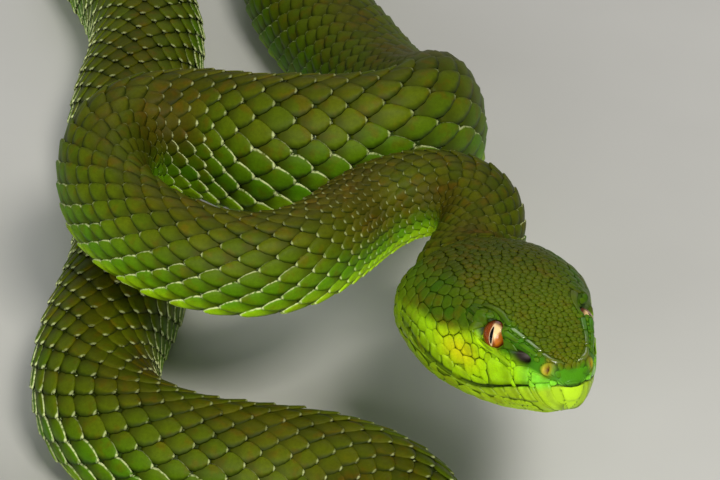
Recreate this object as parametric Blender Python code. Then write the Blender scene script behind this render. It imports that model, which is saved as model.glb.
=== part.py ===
"""A green pit viper, life size, lying in a loose pile of coils with its front part raised.

The snake is one solid tube swept along a route on the floor, parted by thin cuts into the lengths
a person would name, with a lofted head, a separate lower jaw and two round eyes. It has no joints.
All sizes below are millimetres; the finished meshes are in metres, with +Z up.
The origin is the middle of the snake's outline, on the floor.
"""
import math

import bmesh
import bpy
import numpy as np

MM = 0.001
GAP = 0.3              # clearance of each cut between two lengths

# ---------------------------------------------------------------- driving sizes of the head
SNOUT = (28.4, -92.4, 39.3)       # tip of the snout, at the level of the mouth
HEAD_TURN = -70.5                 # degrees from +X, seen from above
HEAD_LIFT = 10.5                  # degrees that the snout points up
HEAD_ROLL = -4.0                  # degrees, left side up
HEAD_BACK = 38.0                  # from the snout to the cut behind the head
HEAD_SIDES = 28

# Behind the snout, half width, crown above the mouth level, chin below it, height of the widest
# level, squareness of the upper half.
HEAD_SHAPE = (
    (0.0, 1.6, 2.3, 0.9, 1.2, 2.4),
    (0.6, 2.6, 4.0, 2.2, 1.6, 2.7),
    (1.8, 3.7, 5.3, 3.3, 2.0, 3.1),
    (4.0, 5.1, 6.1, 4.5, 2.2, 3.7),
    (8.0, 6.8, 6.8, 6.1, 1.8, 4.3),
    (13.0, 8.6, 7.8, 8.1, 0.8, 4.3),
    (19.0, 10.9, 8.4, 9.6, 0.0, 3.4),
    (25.0, 12.9, 9.0, 9.9, -1.0, 2.7),
    (30.5, 13.4, 8.9, 8.8, -0.8, 2.3),
    (35.5, 12.5, 8.0, 7.3, -0.4, 2.2),
    (39.5, 9.0, 7.0, 6.2, 0.0, 2.1),
    (42.0, 7.0, 6.4, 5.7, 0.0, 2.1),
)
HEAD_STEP = 1.7                   # spacing of the head's rings
SNOUT_RINGS = 5                   # the first listed sections are kept as rings of their own
FIRST_STEP = 6.0                  # behind these the rings are evenly spaced
CHIN_SQUARENESS = 2.3             # superellipse exponent of the lower half

# The mouth's cut, as places behind the snout and heights.
MOUTH_LINE = (
    (-2.0, 2.2), (1.0, 1.5), (4.6, 0.0), (7.0, -1.0), (10.3, -2.6), (15.6, -4.2),
    (18.3, -4.0), (21.3, -3.2), (24.6, -1.5), (27.0, -0.5), (31.0, 0.2),
)
CUTTER_SIDE = 20.0                # the block that cuts the mouth reaches this far to each side
CUTTER_DEPTH = -14.0              # and down to this level

EYE_RADIUS = 2.2
EYE_PLACE = (12.3, 5.8, 4.4)      # behind the snout, to the side, above the mouth level
PIT_RADIUS = 0.85
PIT_PLACE = (6.0, 6.0, 3.9)

# ---------------------------------------------------------------- driving sizes of the body
BODY_SIDES = 20
SQUARE_START = 4.0                # the neck leaves the head straight over this length
NECK_LEADS = (20.0, 8.0, 0.0, -3.0)   # places ahead of the cut behind the head, on the head's axis
RUN_IN = 16.0                     # the curve is sampled from this far ahead of that cut
RING_STEP = 5.4                   # spacing of the body's rings along its length
ROUTE_STEP = 0.5                  # spacing of the finely sampled route
BEND_BLEND = 4.0                  # tight bends of the route are eased over about this length
FLOOR_SNAP = 0.12                 # what lies lower than this lies on the floor
BELLY_FLAT = 0.96                 # the belly is cut flat at this share of its depth
BACK_SHARE = 0.54                 # share of the body's height above its widest level
BACK_ROUNDNESS = 2.1              # superellipse exponents of the back and of the belly
BELLY_SQUARENESS = 3.0
SHARP_ANGLE = 50.0                # degrees; flatter edges are smooth

GIRTH_BLEND = 2.5                 # the listed sizes are eased over this much to each side

# Distance behind the head, height and width of the body there.
GIRTH = (
    (-4.0, 16.0, 26.8),
    (0.0, 14.0, 21.4),
    (3.0, 12.6, 16.4),
    (6.0, 12.1, 14.0),
    (12.0, 12.0, 13.0),
    (26.0, 12.4, 12.6),
    (50.0, 15.2, 13.4),
    (85.0, 17.0, 14.2),
    (112.0, 20.0, 16.2),
    (134.0, 25.0, 17.8),
    (154.0, 24.8, 17.8),
    (182.0, 20.8, 18.2),
    (205.0, 19.4, 19.4),
    (260.0, 19.4, 20.6),
    (430.0, 19.2, 20.8),
    (540.0, 16.4, 17.8),
    (625.0, 11.6, 12.6),
    (650.0, 9.4, 10.0),
    (760.0, 2.0, 2.2),
    (900.0, 2.0, 2.2),
)

# The route of the body from the neck to the tip of the tail. Each length starts where its first
# point lies: x and y from the floor plan, height of the belly over the floor.
ROUTE = (
    ("neck", (
        (19.3, -43.2, 28.2),
        (15.0, -36.0, 28.5),
        (8.3, -34.6, 27.5),
    )),
    ("trunk_01_front_run", (
        (-0.5, -38.2, 24.6),
        (-6.2, -44.8, 23.0),
        (-13.9, -48.5, 22.2),
        (-23.9, -46.4, 21.9),
    )),
    ("trunk_02_left_bend", (
        (-35.2, -37.0, 21.8),
        (-40.0, -24.8, 21.3),
        (-36.2, -13.2, 20.7),
    )),
    ("trunk_03_far_run", (
        (-25.3, -12.0, 19.6),
        (-12.5, -18.7, 19.1),
        (-1.6, -19.6, 19.2),
    )),
    ("trunk_04_right_bend", (
        (6.9, -18.0, 19.6),
        (11.2, -11.0, 18.0),
        (10.9, -0.9, 13.2),
    )),
    ("trunk_05_slope", (
        (7.8, 10.6, 8.2),
        (4.6, 22.5, 4.4),
        (0.3, 36.3, 1.8),
    )),
    ("trunk_06_back_right", (
        (-4.8, 50.0, 0.4),
        (-11.0, 67.0, 0.0),
        (-13.0, 84.0, 0.0),
    )),
    ("trunk_07_back_left", (
        (-15.0, 101.0, 0.0),
        (-26.0, 113.0, 0.0),
    )),
    ("trunk_08_back_turn", (
        (-41.0, 112.0, 0.0),
        (-50.0, 99.0, 0.0),
        (-47.5, 81.0, 0.0),
    )),
    ("trunk_09_left_side", (
        (-41.0, 64.0, 0.0),
        (-38.0, 46.0, 0.0),
        (-40.0, 25.0, 0.0),
    )),
    ("trunk_10_under_bend", (
        (-37.5, 2.0, 0.0),
        (-36.8, -22.0, 0.0),
    )),
    ("trunk_11_near_corner", (
        (-40.5, -42.0, 0.0),
        (-38.0, -58.0, 0.0),
        (-25.0, -67.0, 0.0),
    )),
    ("trunk_12_near_run", (
        (-8.0, -69.5, 0.0),
        (5.0, -76.0, 0.0),
        (9.0, -88.0, 0.0),
    )),
    ("trunk_13_near_turn", (
        (1.5, -98.0, 0.0),
        (-13.0, -99.0, 0.0),
    )),
    ("trunk_14_vent", (
        (-32.0, -93.0, 0.0),
        (-53.0, -85.0, 0.0),
    )),
    ("tail_base", (
        (-66.0, -69.0, 0.0),
        (-70.0, -44.0, 0.0),
    )),
    ("tail_tip", (
        (-68.5, -16.0, 0.0),
        (-69.0, 10.0, 0.0),
        (-75.0, 32.0, 0.0),
    )),
)

# ---------------------------------------------------------------- colours, linear RGB
DORSAL_GREEN = (0.075, 0.180, 0.010)
FLANK_GREEN = (0.110, 0.330, 0.012)
JAW_GREEN = (0.330, 0.560, 0.030)
EYE_COPPER = (0.560, 0.170, 0.035)


def clear_scene():
    """Remove the objects of the start-up file."""
    for thing in list(bpy.data.objects):
        bpy.data.objects.remove(thing, do_unlink=True)


def make_material(name, colour, roughness):
    """A plain finish with one colour."""
    material = bpy.data.materials.new(name)
    material.use_nodes = True
    shader = material.node_tree.nodes["Principled BSDF"]
    shader.inputs["Base Color"].default_value = (*colour, 1.0)
    shader.inputs["Roughness"].default_value = roughness
    shader.inputs["Metallic"].default_value = 0.0
    return material


def cubic_through(knots, values, places):
    """The natural cubic spline through values at knots, read at places."""
    knots = np.asarray(knots, float)
    values = np.asarray(values, float)
    count = len(knots)
    step = np.diff(knots)
    slope = np.diff(values, axis=0) / step[:, None]
    system = np.eye(count)
    right = np.zeros_like(values)
    for i in range(1, count - 1):
        system[i, i - 1] = step[i - 1]
        system[i, i] = 2.0 * (step[i - 1] + step[i])
        system[i, i + 1] = step[i]
        right[i] = 6.0 * (slope[i] - slope[i - 1])
    bend = np.linalg.solve(system, right)
    cell = np.clip(np.searchsorted(knots, places, side="right") - 1, 0, count - 2)
    length = step[cell][:, None]
    before = (np.asarray(places)[:, None] - knots[cell][:, None]) / length
    after = 1.0 - before
    straight = after * values[cell] + before * values[cell + 1]
    curved = (after**3 - after) * bend[cell] + (before**3 - before) * bend[cell + 1]
    return straight + curved * length**2 / 6.0


def ease(rows):
    """Rows of a finely sampled curve, each blended with its neighbours by a bell-shaped weight."""
    reach = int(3.0 * BEND_BLEND / ROUTE_STEP)
    weight = np.exp(-0.5 * (np.arange(-reach, reach + 1) * ROUTE_STEP / BEND_BLEND) ** 2)
    weight /= weight.sum()
    # Mirrored ends keep the curve's own ends in place.
    before = 2.0 * rows[0] - rows[reach:0:-1]
    after = 2.0 * rows[-1] - rows[-2:-reach - 2:-1]
    padded = np.vstack([before, rows, after])
    return np.stack([np.convolve(axis, weight, mode="valid") for axis in padded.T], 1)


def unit(vectors):
    """The same directions with length one."""
    vectors = np.asarray(vectors, float)
    return vectors / np.linalg.norm(vectors, axis=-1, keepdims=True)


def head_axes():
    """Forward, left and up of the head."""
    turn, lift, roll = (math.radians(a) for a in (HEAD_TURN, HEAD_LIFT, HEAD_ROLL))
    forward = np.array([
        math.cos(lift) * math.cos(turn),
        math.cos(lift) * math.sin(turn),
        math.sin(lift),
    ])
    level = np.array([-math.sin(turn), math.cos(turn), 0.0])
    upright = np.cross(forward, level)
    left = level * math.cos(roll) + upright * math.sin(roll)
    return forward, left, np.cross(forward, left)


def head_place(behind, side, height):
    """World position of a place given behind the snout, to the left and above the mouth level."""
    forward, left, up = head_axes()
    behind, side, height = (np.asarray(v, float)[..., None] for v in (behind, side, height))
    return np.array(SNOUT) - behind * forward + side * left + height * up


def outline(half_width, above, below, upper, lower, sides):
    """A closed section as (side, height) points: a superellipse with its own lower half."""
    angle = np.linspace(0.0, 2.0 * math.pi, sides, endpoint=False) - math.pi / 2.0
    across, along = np.cos(angle), np.sin(angle)
    top = along >= 0.0
    power = 2.0 / np.where(top, upper, lower)
    side = np.sign(across) * np.abs(across) ** power * half_width
    height = np.sign(along) * np.abs(along) ** power * np.where(top, above, below)
    return side, np.maximum(height, -below * BELLY_FLAT)


def body_size(distance):
    """Height and width of the body at a distance behind the head, eased between the listed ones."""
    where, height, width = np.array(GIRTH).T
    near = np.asarray(distance, float)[..., None] + np.linspace(-GIRTH_BLEND, GIRTH_BLEND, 9)
    return np.interp(near, where, height).mean(-1), np.interp(near, where, width).mean(-1)


def belly_depth(height):
    """From the flat of the belly up to the widest level."""
    return height * (1.0 - BACK_SHARE) * BELLY_FLAT


def body_route():
    """The route sampled finely: distance, centre point, and where each length starts."""
    forward = head_axes()[0]
    start = head_place(HEAD_BACK, 0.0, 0.0)
    start[2] -= belly_depth(body_size(0.0)[0])
    # Places ahead of the cut and just behind it make the neck leave the head straight.
    rows = [tuple(start + forward * reach) for reach in NECK_LEADS]
    cut_row = NECK_LEADS.index(0.0)
    firsts = []
    for name, points in ROUTE:
        firsts.append(cut_row if name == "neck" else len(rows))
        rows.extend(points)
    rows = np.array(rows)
    chord = np.linalg.norm(np.diff(rows, axis=0), axis=1)
    knots = np.concatenate([[0.0], np.cumsum(chord)]) - chord[:cut_row].sum()
    fine = np.arange(-RUN_IN, knots[-1], ROUTE_STEP)
    centre = ease(cubic_through(knots, rows, fine))[fine >= 0.0]
    distance = np.linalg.norm(np.diff(centre, axis=0), axis=1)
    distance = np.concatenate([[0.0], np.cumsum(distance)])
    centre[:, 2] = np.maximum(centre[:, 2], 0.0) + belly_depth(body_size(distance)[0])
    starts = [float(np.interp(knots[i], fine[fine >= 0.0], distance)) for i in firsts]
    return distance, centre, starts


def body_rings(distance, centre, places):
    """Rings of points round the body at the given distances."""
    middle = np.stack([np.interp(places, distance, axis) for axis in centre.T], 1)
    slopes = np.gradient(centre, distance, axis=0)
    along = unit(np.stack([np.interp(places, distance, axis) for axis in slopes.T], 1))
    # The first few millimetres face the cut behind the head squarely.
    square = np.clip(1.2 - np.asarray(places)[:, None] / SQUARE_START, 0.0, 1.0)
    along = unit(along * (1.0 - square) - head_axes()[0] * square)
    side_axis = unit(np.cross([0.0, 0.0, 1.0], along))
    up_axis = np.cross(along, side_axis)
    rings = []
    for i, place in enumerate(places):
        height, width = body_size(place)
        above, below = height * BACK_SHARE, height * (1.0 - BACK_SHARE)
        side, rise = outline(width / 2.0, above, below,
                             BACK_ROUNDNESS, BELLY_SQUARENESS, BODY_SIDES)
        ring = middle[i] + side[:, None] * side_axis[i] + rise[:, None] * up_axis[i]
        rings.append(ring)
    # Both sides of a cut share its plane, half the clearance off it.
    rings[0] += along[0] * (GAP if places[0] == 0.0 else GAP / 2.0)
    rings[-1] -= along[-1] * GAP / 2.0
    for ring in rings:
        ring[ring[:, 2] < FLOOR_SNAP, 2] = 0.0
    return rings


def head_rings():
    """Rings of points round the head, from the snout to the cut behind it."""
    shape = np.array(HEAD_SHAPE)
    extra = np.arange(FIRST_STEP, HEAD_BACK, HEAD_STEP)
    places = np.union1d(shape[:SNOUT_RINGS, 0], np.append(extra, HEAD_BACK))
    read = cubic_through(shape[:, 0], shape[:, 1:], places)
    rings = []
    for place, (half_width, crown, chin, widest, square) in zip(places, read):
        side, height = outline(half_width, crown - widest, chin + widest,
                               square, CHIN_SQUARENESS, HEAD_SIDES)
        rings.append(head_place(np.full_like(side, place), side, height + widest))
    return rings


def closed_tube(name, rings, material):
    """A solid from a row of rings, with a flat face at each end."""
    mesh = bpy.data.meshes.new(name)
    work = bmesh.new()
    corners = [[work.verts.new(point * MM) for point in ring] for ring in rings]
    for first, second in zip(corners, corners[1:]):
        for i, vertex in enumerate(first):
            after = (i + 1) % len(first)
            work.faces.new((vertex, first[after], second[after], second[i]))
    work.faces.new(corners[0])
    work.faces.new(corners[-1])
    bmesh.ops.recalc_face_normals(work, faces=work.faces)
    if work.calc_volume(signed=True) < 0.0:
        bmesh.ops.reverse_faces(work, faces=work.faces)
    bmesh.ops.triangulate(work, faces=work.faces)
    work.to_mesh(mesh)
    work.free()
    thing = bpy.data.objects.new(name, mesh)
    bpy.context.scene.collection.objects.link(thing)
    mesh.materials.append(material)
    mesh.shade_smooth()
    mesh.set_sharp_from_angle(angle=math.radians(SHARP_ANGLE))
    return thing


def make_ball(name, middle, radius, around, up, material):
    """A round ball at a world position."""
    mesh = bpy.data.meshes.new(name)
    work = bmesh.new()
    bmesh.ops.create_uvsphere(work, u_segments=around, v_segments=up, radius=radius * MM)
    bmesh.ops.translate(work, verts=work.verts, vec=np.asarray(middle) * MM)
    work.to_mesh(mesh)
    work.free()
    ball = bpy.data.objects.new(name, mesh)
    bpy.context.scene.collection.objects.link(ball)
    mesh.materials.append(material)
    mesh.shade_smooth()
    return ball


def make_mouth_cutter(name, rise, reach, material):
    """A block below the mouth line, raised by rise and reaching back by reach more."""
    line = np.array(MOUTH_LINE)
    behind = np.linspace(line[0, 0], line[-1, 0], 14)
    height = cubic_through(line[:, 0], line[:, 1:], behind)[:, 0] + rise
    behind[-1] += reach
    profile = list(zip(behind, height))
    profile += [(behind[-1], CUTTER_DEPTH), (behind[0], CUTTER_DEPTH)]
    rings = []
    for side in (-CUTTER_SIDE, CUTTER_SIDE):
        back, up = np.array(profile).T
        rings.append(head_place(back, np.full_like(back, side), up))
    return closed_tube(name, rings, material)


def cut(thing, cutter, operation):
    """Apply a cutter to a solid with a Boolean modifier and hide the cutter."""
    change = thing.modifiers.new(cutter.name, "BOOLEAN")
    change.operation = operation
    change.object = cutter
    cutter.hide_render = True
    cutter.display_type = "WIRE"


def make_head(skin, jaw, eye):
    """The head with its eye sockets and heat pits, the lower jaw, and the eyes."""
    head = closed_tube("head", head_rings(), skin)
    lower = closed_tube("lower_jaw", head_rings(), jaw)
    cut(lower, make_mouth_cutter("cutter_jaw", -GAP / 2.0, 0.0, jaw), "INTERSECT")
    cut(head, make_mouth_cutter("cutter_mouth", GAP / 2.0, GAP, jaw), "DIFFERENCE")
    for side, name in ((1.0, "left"), (-1.0, "right")):
        behind, out, height = EYE_PLACE
        middle = head_place(behind, side * out, height)
        socket = make_ball("cutter_socket_" + name, middle, EYE_RADIUS + GAP, 16, 12, skin)
        cut(head, socket, "DIFFERENCE")
        make_ball("eye_" + name, middle, EYE_RADIUS, 16, 12, eye)
        behind, out, height = PIT_PLACE
        pit = make_ball("cutter_pit_" + name, head_place(behind, side * out, height),
                        PIT_RADIUS, 10, 8, skin)
        cut(head, pit, "DIFFERENCE")


def make_body(skin, flank):
    """The neck, the lengths of the trunk and the tail, one solid each."""
    distance, centre, starts = body_route()
    ends = starts[1:] + [distance[-1]]
    print("length with the head", round(HEAD_BACK + distance[-1], 1), "mm")
    names = [name for name, points in ROUTE]
    for name, start, end in zip(names, starts, ends):
        count = max(2, int(round((end - start) / RING_STEP)) + 1)
        places = np.linspace(start, end, count)
        rings = body_rings(distance, centre, places)
        closed_tube(name, rings, flank if name.startswith("tail") else skin)


def stand_on_origin():
    """Move everything so that the origin is the middle of the outline, on the floor."""
    solids = [thing for thing in bpy.data.objects if not thing.hide_render]
    points = np.array([corner.co for thing in solids for corner in thing.data.vertices])
    low, high = points.min(0), points.max(0)
    shift = np.array([(low[0] + high[0]) / 2.0, (low[1] + high[1]) / 2.0, low[2]])
    for thing in bpy.data.objects:
        for corner in thing.data.vertices:
            corner.co = np.array(corner.co) - shift


def main():
    clear_scene()
    skin = make_material("dorsal_scales", DORSAL_GREEN, 0.45)
    flank = make_material("flank_scales", FLANK_GREEN, 0.45)
    jaw = make_material("lip_scales", JAW_GREEN, 0.40)
    eye = make_material("copper_eye", EYE_COPPER, 0.08)
    make_head(skin, jaw, eye)
    make_body(skin, flank)
    stand_on_origin()


main()
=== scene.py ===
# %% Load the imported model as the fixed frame
import math

import bpy
import numpy as np
from mathutils import Matrix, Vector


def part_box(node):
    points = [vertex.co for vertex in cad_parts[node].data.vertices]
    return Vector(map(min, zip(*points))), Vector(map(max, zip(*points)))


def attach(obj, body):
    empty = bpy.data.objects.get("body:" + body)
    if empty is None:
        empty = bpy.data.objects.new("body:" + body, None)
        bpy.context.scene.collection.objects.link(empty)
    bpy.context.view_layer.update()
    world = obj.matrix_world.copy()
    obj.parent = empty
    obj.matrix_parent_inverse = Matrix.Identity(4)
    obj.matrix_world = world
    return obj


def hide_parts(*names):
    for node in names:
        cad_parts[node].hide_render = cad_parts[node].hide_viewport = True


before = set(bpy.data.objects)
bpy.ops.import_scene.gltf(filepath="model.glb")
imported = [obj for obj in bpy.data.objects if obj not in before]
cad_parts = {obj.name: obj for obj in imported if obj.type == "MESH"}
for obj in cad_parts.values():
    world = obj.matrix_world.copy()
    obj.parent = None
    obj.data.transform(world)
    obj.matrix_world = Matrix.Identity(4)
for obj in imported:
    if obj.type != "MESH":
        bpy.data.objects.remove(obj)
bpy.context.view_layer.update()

MM = 0.001

# %% [markdown]
# # A green pit viper, life size
#
# A snake's looks come from two layers. Underneath is one soft skin from the snout to the tip of the
# tail. Over it lie some five thousand scales of horn: grains on the crown, plates along the lips,
# keeled leaves on the back and broad bars under the belly.
#
# Both layers need the same places, so the whole snake is worked out first as one surface. A point
# on it has two numbers: how far along the snake it is from the snout, in millimetres, and how far
# round, from 0 at the middle of the belly by the left side, the back (0.5) and the right side to 1.
# Anything placed by these two numbers bends with the coils.

# %% Small helpers for curves and blends
def unit(vectors):
    """The same directions with length one."""
    return vectors / np.maximum(np.linalg.norm(vectors, axis=-1, keepdims=True), 1e-12)


def smooth(low, high, value):
    """0 below low, 1 above high, and an S-shaped rise 3x^2 - 2x^3 between them."""
    share = np.clip((value - low) / (high - low), 0.0, 1.0)
    return share * share * (3.0 - 2.0 * share)


def bell(offset, width):
    """A bell-shaped bump: e to the power of minus (offset / width) squared."""
    return np.exp(-(np.asarray(offset) / width) ** 2)


def cubic_through(knots, values, places):
    """The natural cubic spline through values at knots, read at places."""
    knots, values = np.asarray(knots, float), np.asarray(values, float)
    count, step = len(knots), np.diff(knots)
    slope = np.diff(values, axis=0) / step[:, None]
    inner = np.arange(1, count - 1)
    system, right = np.eye(count), np.zeros_like(values)
    system[inner, inner - 1] = step[:-1]
    system[inner, inner] = 2.0 * (step[:-1] + step[1:])
    system[inner, inner + 1] = step[1:]
    right[inner] = 6.0 * np.diff(slope, axis=0)
    bend = np.linalg.solve(system, right)
    cell = np.clip(np.searchsorted(knots, places, side="right") - 1, 0, count - 2)
    length = step[cell][:, None]
    before = (np.asarray(places)[:, None] - knots[cell][:, None]) / length
    after = 1.0 - before
    straight = after * values[cell] + before * values[cell + 1]
    curved = (after**3 - after) * bend[cell] + (before**3 - before) * bend[cell + 1]
    return straight + curved * length**2 / 6.0


# %% [markdown]
# ## The head's axes
#
# The head is stated by sections, one behind the other, in its own directions: behind the snout, to
# the left, and above the level of the mouth. The sizes are those of the solid head in the frame,
# and the frame's left eye tells where the head lies in the room.

# %% The head's own directions and its sections
SNOUT = (28.4, -92.4, 39.3)
HEAD_TURN, HEAD_LIFT, HEAD_ROLL = -70.5, 10.5, -4.0     # degrees
HEAD_BACK = 38.0
SNOUT_CAP = 0.55        # the flat front of the solid head is rounded off by this much
EYE_RADIUS = 2.2
EYE_PLACE = (12.3, 5.8, 4.4)

# Behind the snout, half width, crown above the mouth level, chin below it, height of the widest
# level, squareness of the upper half.
HEAD_SHAPE = np.array((
    (0.0, 1.6, 2.3, 0.9, 1.2, 2.4),
    (0.6, 2.6, 4.0, 2.2, 1.6, 2.7),
    (1.8, 3.7, 5.3, 3.3, 2.0, 3.1),
    (4.0, 5.1, 6.1, 4.5, 2.2, 3.7),
    (8.0, 6.8, 6.8, 6.1, 1.8, 4.3),
    (13.0, 8.6, 7.8, 8.1, 0.8, 4.3),
    (19.0, 10.9, 8.4, 9.6, 0.0, 3.4),
    (25.0, 12.9, 9.0, 9.9, -1.0, 2.7),
    (30.5, 13.4, 8.9, 8.8, -0.8, 2.3),
    (35.5, 12.5, 8.0, 7.3, -0.4, 2.2),
    (39.5, 9.0, 7.0, 6.2, 0.0, 2.1),
    (42.0, 7.0, 6.4, 5.7, 0.0, 2.1),
))
CHIN_SQUARENESS = 2.3


def head_axes():
    """Forward, left and up of the head, from its turn, lift and roll."""
    turn, lift, roll = (math.radians(a) for a in (HEAD_TURN, HEAD_LIFT, HEAD_ROLL))
    forward = np.array([math.cos(lift) * math.cos(turn), math.cos(lift) * math.sin(turn),
                        math.sin(lift)])
    level = np.array([-math.sin(turn), math.cos(turn), 0.0])
    left = level * math.cos(roll) + np.cross(forward, level) * math.sin(roll)
    return forward, left, np.cross(forward, left)


FORWARD, LEFT, UP = head_axes()


def head_place(behind, side, height):
    """Snout minus behind times forward, plus side times left, plus height times up."""
    behind, side, height = (np.asarray(v, float)[..., None] for v in (behind, side, height))
    return np.array(SNOUT) - behind * FORWARD + side * LEFT + height * UP


eye_low, eye_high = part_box("eye_left")
SHIFT = np.array((eye_low + eye_high) / 2.0) / MM - head_place(*EYE_PLACE)
print("the sections' zero lies at", np.round(SHIFT, 2), "mm in the frame")

# %% [markdown]
# ## The body's route
#
# The body follows a smooth curve through places on the floor plan, each with the height of the
# belly over the floor. A natural spline passes through them, and a bell-shaped average eases the
# tight bends, because a snake's spine has hundreds of small joints and never bends at one.

# %% Girth and route of the body
BEND_BLEND, ROUTE_STEP, RUN_IN = 4.0, 0.5, 16.0
BELLY_FLAT, BACK_SHARE = 0.96, 0.54
BACK_ROUNDNESS, BELLY_SQUARENESS = 2.1, 3.0
GIRTH_BLEND, SQUARE_START, FLOOR_SNAP = 2.5, 4.0, 0.12
NECK_LEADS = (20.0, 8.0, 0.0, -3.0)

# Distance behind the head, height and width of the body there.
GIRTH = np.array((
    (-4.0, 16.0, 26.8), (0.0, 14.0, 21.4), (3.0, 12.6, 16.4), (6.0, 12.1, 14.0),
    (12.0, 12.0, 13.0), (26.0, 12.4, 12.6), (50.0, 15.2, 13.4), (85.0, 17.0, 14.2),
    (112.0, 20.0, 16.2), (134.0, 25.0, 17.8), (154.0, 24.8, 17.8), (182.0, 20.8, 18.2),
    (205.0, 19.4, 19.4), (260.0, 19.4, 20.6), (430.0, 19.2, 20.8), (540.0, 16.4, 17.8),
    (625.0, 11.6, 12.6), (650.0, 9.4, 10.0), (760.0, 2.0, 2.2), (900.0, 2.0, 2.2),
))

# Floor plan and height of the belly, from the neck to the tip of the tail.
ROUTE = (
    (19.3, -43.2, 28.2), (15.0, -36.0, 28.5), (8.3, -34.6, 27.5), (-0.5, -38.2, 24.6),
    (-6.2, -44.8, 23.0), (-13.9, -48.5, 22.2), (-23.9, -46.4, 21.9), (-35.2, -37.0, 21.8),
    (-40.0, -24.8, 21.3), (-36.2, -13.2, 20.7), (-25.3, -12.0, 19.6), (-12.5, -18.7, 19.1),
    (-1.6, -19.6, 19.2), (6.9, -18.0, 19.6), (11.2, -11.0, 18.0), (10.9, -0.9, 13.2),
    (7.8, 10.6, 8.2), (4.6, 22.5, 4.4), (0.3, 36.3, 1.8), (-4.8, 50.0, 0.4),
    (-11.0, 67.0, 0.0), (-13.0, 84.0, 0.0), (-15.0, 101.0, 0.0), (-26.0, 113.0, 0.0),
    (-41.0, 112.0, 0.0), (-50.0, 99.0, 0.0), (-47.5, 81.0, 0.0), (-41.0, 64.0, 0.0),
    (-38.0, 46.0, 0.0), (-40.0, 25.0, 0.0), (-37.5, 2.0, 0.0), (-36.8, -22.0, 0.0),
    (-40.5, -42.0, 0.0), (-38.0, -58.0, 0.0), (-25.0, -67.0, 0.0), (-8.0, -69.5, 0.0),
    (5.0, -76.0, 0.0), (9.0, -88.0, 0.0), (1.5, -98.0, 0.0), (-13.0, -99.0, 0.0),
    (-32.0, -93.0, 0.0), (-53.0, -85.0, 0.0), (-66.0, -69.0, 0.0), (-70.0, -44.0, 0.0),
    (-68.5, -16.0, 0.0), (-69.0, 10.0, 0.0), (-75.0, 32.0, 0.0),
)


def body_size(distance):
    """Height and width of the body behind the head: the listed ones, averaged a little."""
    near = np.asarray(distance, float)[..., None] + np.linspace(-GIRTH_BLEND, GIRTH_BLEND, 9)
    return np.array([np.interp(near, GIRTH[:, 0], GIRTH[:, 1]).mean(-1),
                     np.interp(near, GIRTH[:, 0], GIRTH[:, 2]).mean(-1)])


def belly_depth(height):
    """From the flat of the belly up to the widest level."""
    return height * (1.0 - BACK_SHARE) * BELLY_FLAT


def ease(rows):
    """Each row of a finely sampled curve, averaged with its neighbours by a bell-shaped weight."""
    reach = int(3.0 * BEND_BLEND / ROUTE_STEP)
    weight = np.exp(-0.5 * (np.arange(-reach, reach + 1) * ROUTE_STEP / BEND_BLEND) ** 2)
    before = 2.0 * rows[0] - rows[reach:0:-1]
    after = 2.0 * rows[-1] - rows[-2:-reach - 2:-1]
    padded = np.vstack([before, rows, after])
    weight /= weight.sum()
    return np.stack([np.convolve(axis, weight, mode="valid") for axis in padded.T], 1)


def body_route():
    """Distance behind the head and centre line, from a little ahead of the neck's start."""
    start = head_place(HEAD_BACK, 0.0, 0.0)
    start[2] -= belly_depth(body_size(0.0)[0])
    leads = [tuple(start + FORWARD * reach) for reach in NECK_LEADS]
    rows = np.array(leads + list(ROUTE))
    chord = np.linalg.norm(np.diff(rows, axis=0), axis=1)
    knots = np.concatenate([[0.0], np.cumsum(chord)]) - chord[:NECK_LEADS.index(0.0)].sum()
    fine = np.arange(-RUN_IN, knots[-1], ROUTE_STEP)
    centre = ease(cubic_through(knots, rows, fine))
    distance = np.concatenate([[0.0], np.cumsum(np.linalg.norm(np.diff(centre, axis=0), axis=1))])
    distance -= distance[np.searchsorted(fine, 0.0)]
    centre[:, 2] = np.maximum(centre[:, 2], 0.0) + belly_depth(body_size(distance)[0])
    return distance, centre


ROUTE_DISTANCE, ROUTE_CENTRE = body_route()
TAIL_END = HEAD_BACK + ROUTE_DISTANCE[-1]
print("snout to tail tip:", round(TAIL_END, 1), "mm")

# %% [markdown]
# ## One surface for the whole snake
#
# Each section is a superellipse: its half width and height set the size, and an exponent sets how
# square it is. The sections are listed densely, each is divided evenly along its own outline, and
# the head's last sections melt into the neck's first ones. The result is a table of points that
# any piece can read between its rows and columns.

# %% Sections of the head and body as a table of points
AROUND = 192
ANGLE = np.linspace(0.0, 2.0 * math.pi, 721) - math.pi / 2.0
ALONG = np.concatenate([np.linspace(-SNOUT_CAP, 4.0, 42), np.arange(4.2, 60.0, 0.25),
                        np.arange(60.0, TAIL_END, 0.5), [TAIL_END]])
ROUND = np.linspace(0.0, 1.0, AROUND + 1)
NECK_BLEND = (35.5, 41.5)
TAIL_POINT = 17.0       # the stretch over which the tail's end comes to a point
LEAST_SHARE = 0.004     # what is left there of the square of the tail's thickness


def outline(half_width, above, below, upper, lower):
    """Superellipses: side is cos^(2/n) and height sin^(2/n) of the angle, with a lower half of
    its own."""
    across, along = np.cos(ANGLE), np.sin(ANGLE)
    top = along >= 0.0
    power = 2.0 / np.where(top, upper, lower)
    side = np.sign(across) * np.abs(across) ** power * half_width
    height = np.sign(along) * np.abs(along) ** power * np.where(top, above, below)
    return side, np.maximum(height, -below * BELLY_FLAT)


def evenly_round(side, height):
    """Every section read again at even steps of its own outline's length."""
    step = np.hypot(np.diff(side), np.diff(height))
    length = np.concatenate([np.zeros((len(step), 1)), np.cumsum(step, 1)], 1)
    girth = length[:, -1]
    read = [(np.interp(ROUND * g, row, s), np.interp(ROUND * g, row, h))
            for g, row, s, h in zip(girth, length, side, height)]
    return np.array([r[0] for r in read]), np.array([r[1] for r in read]), girth


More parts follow.
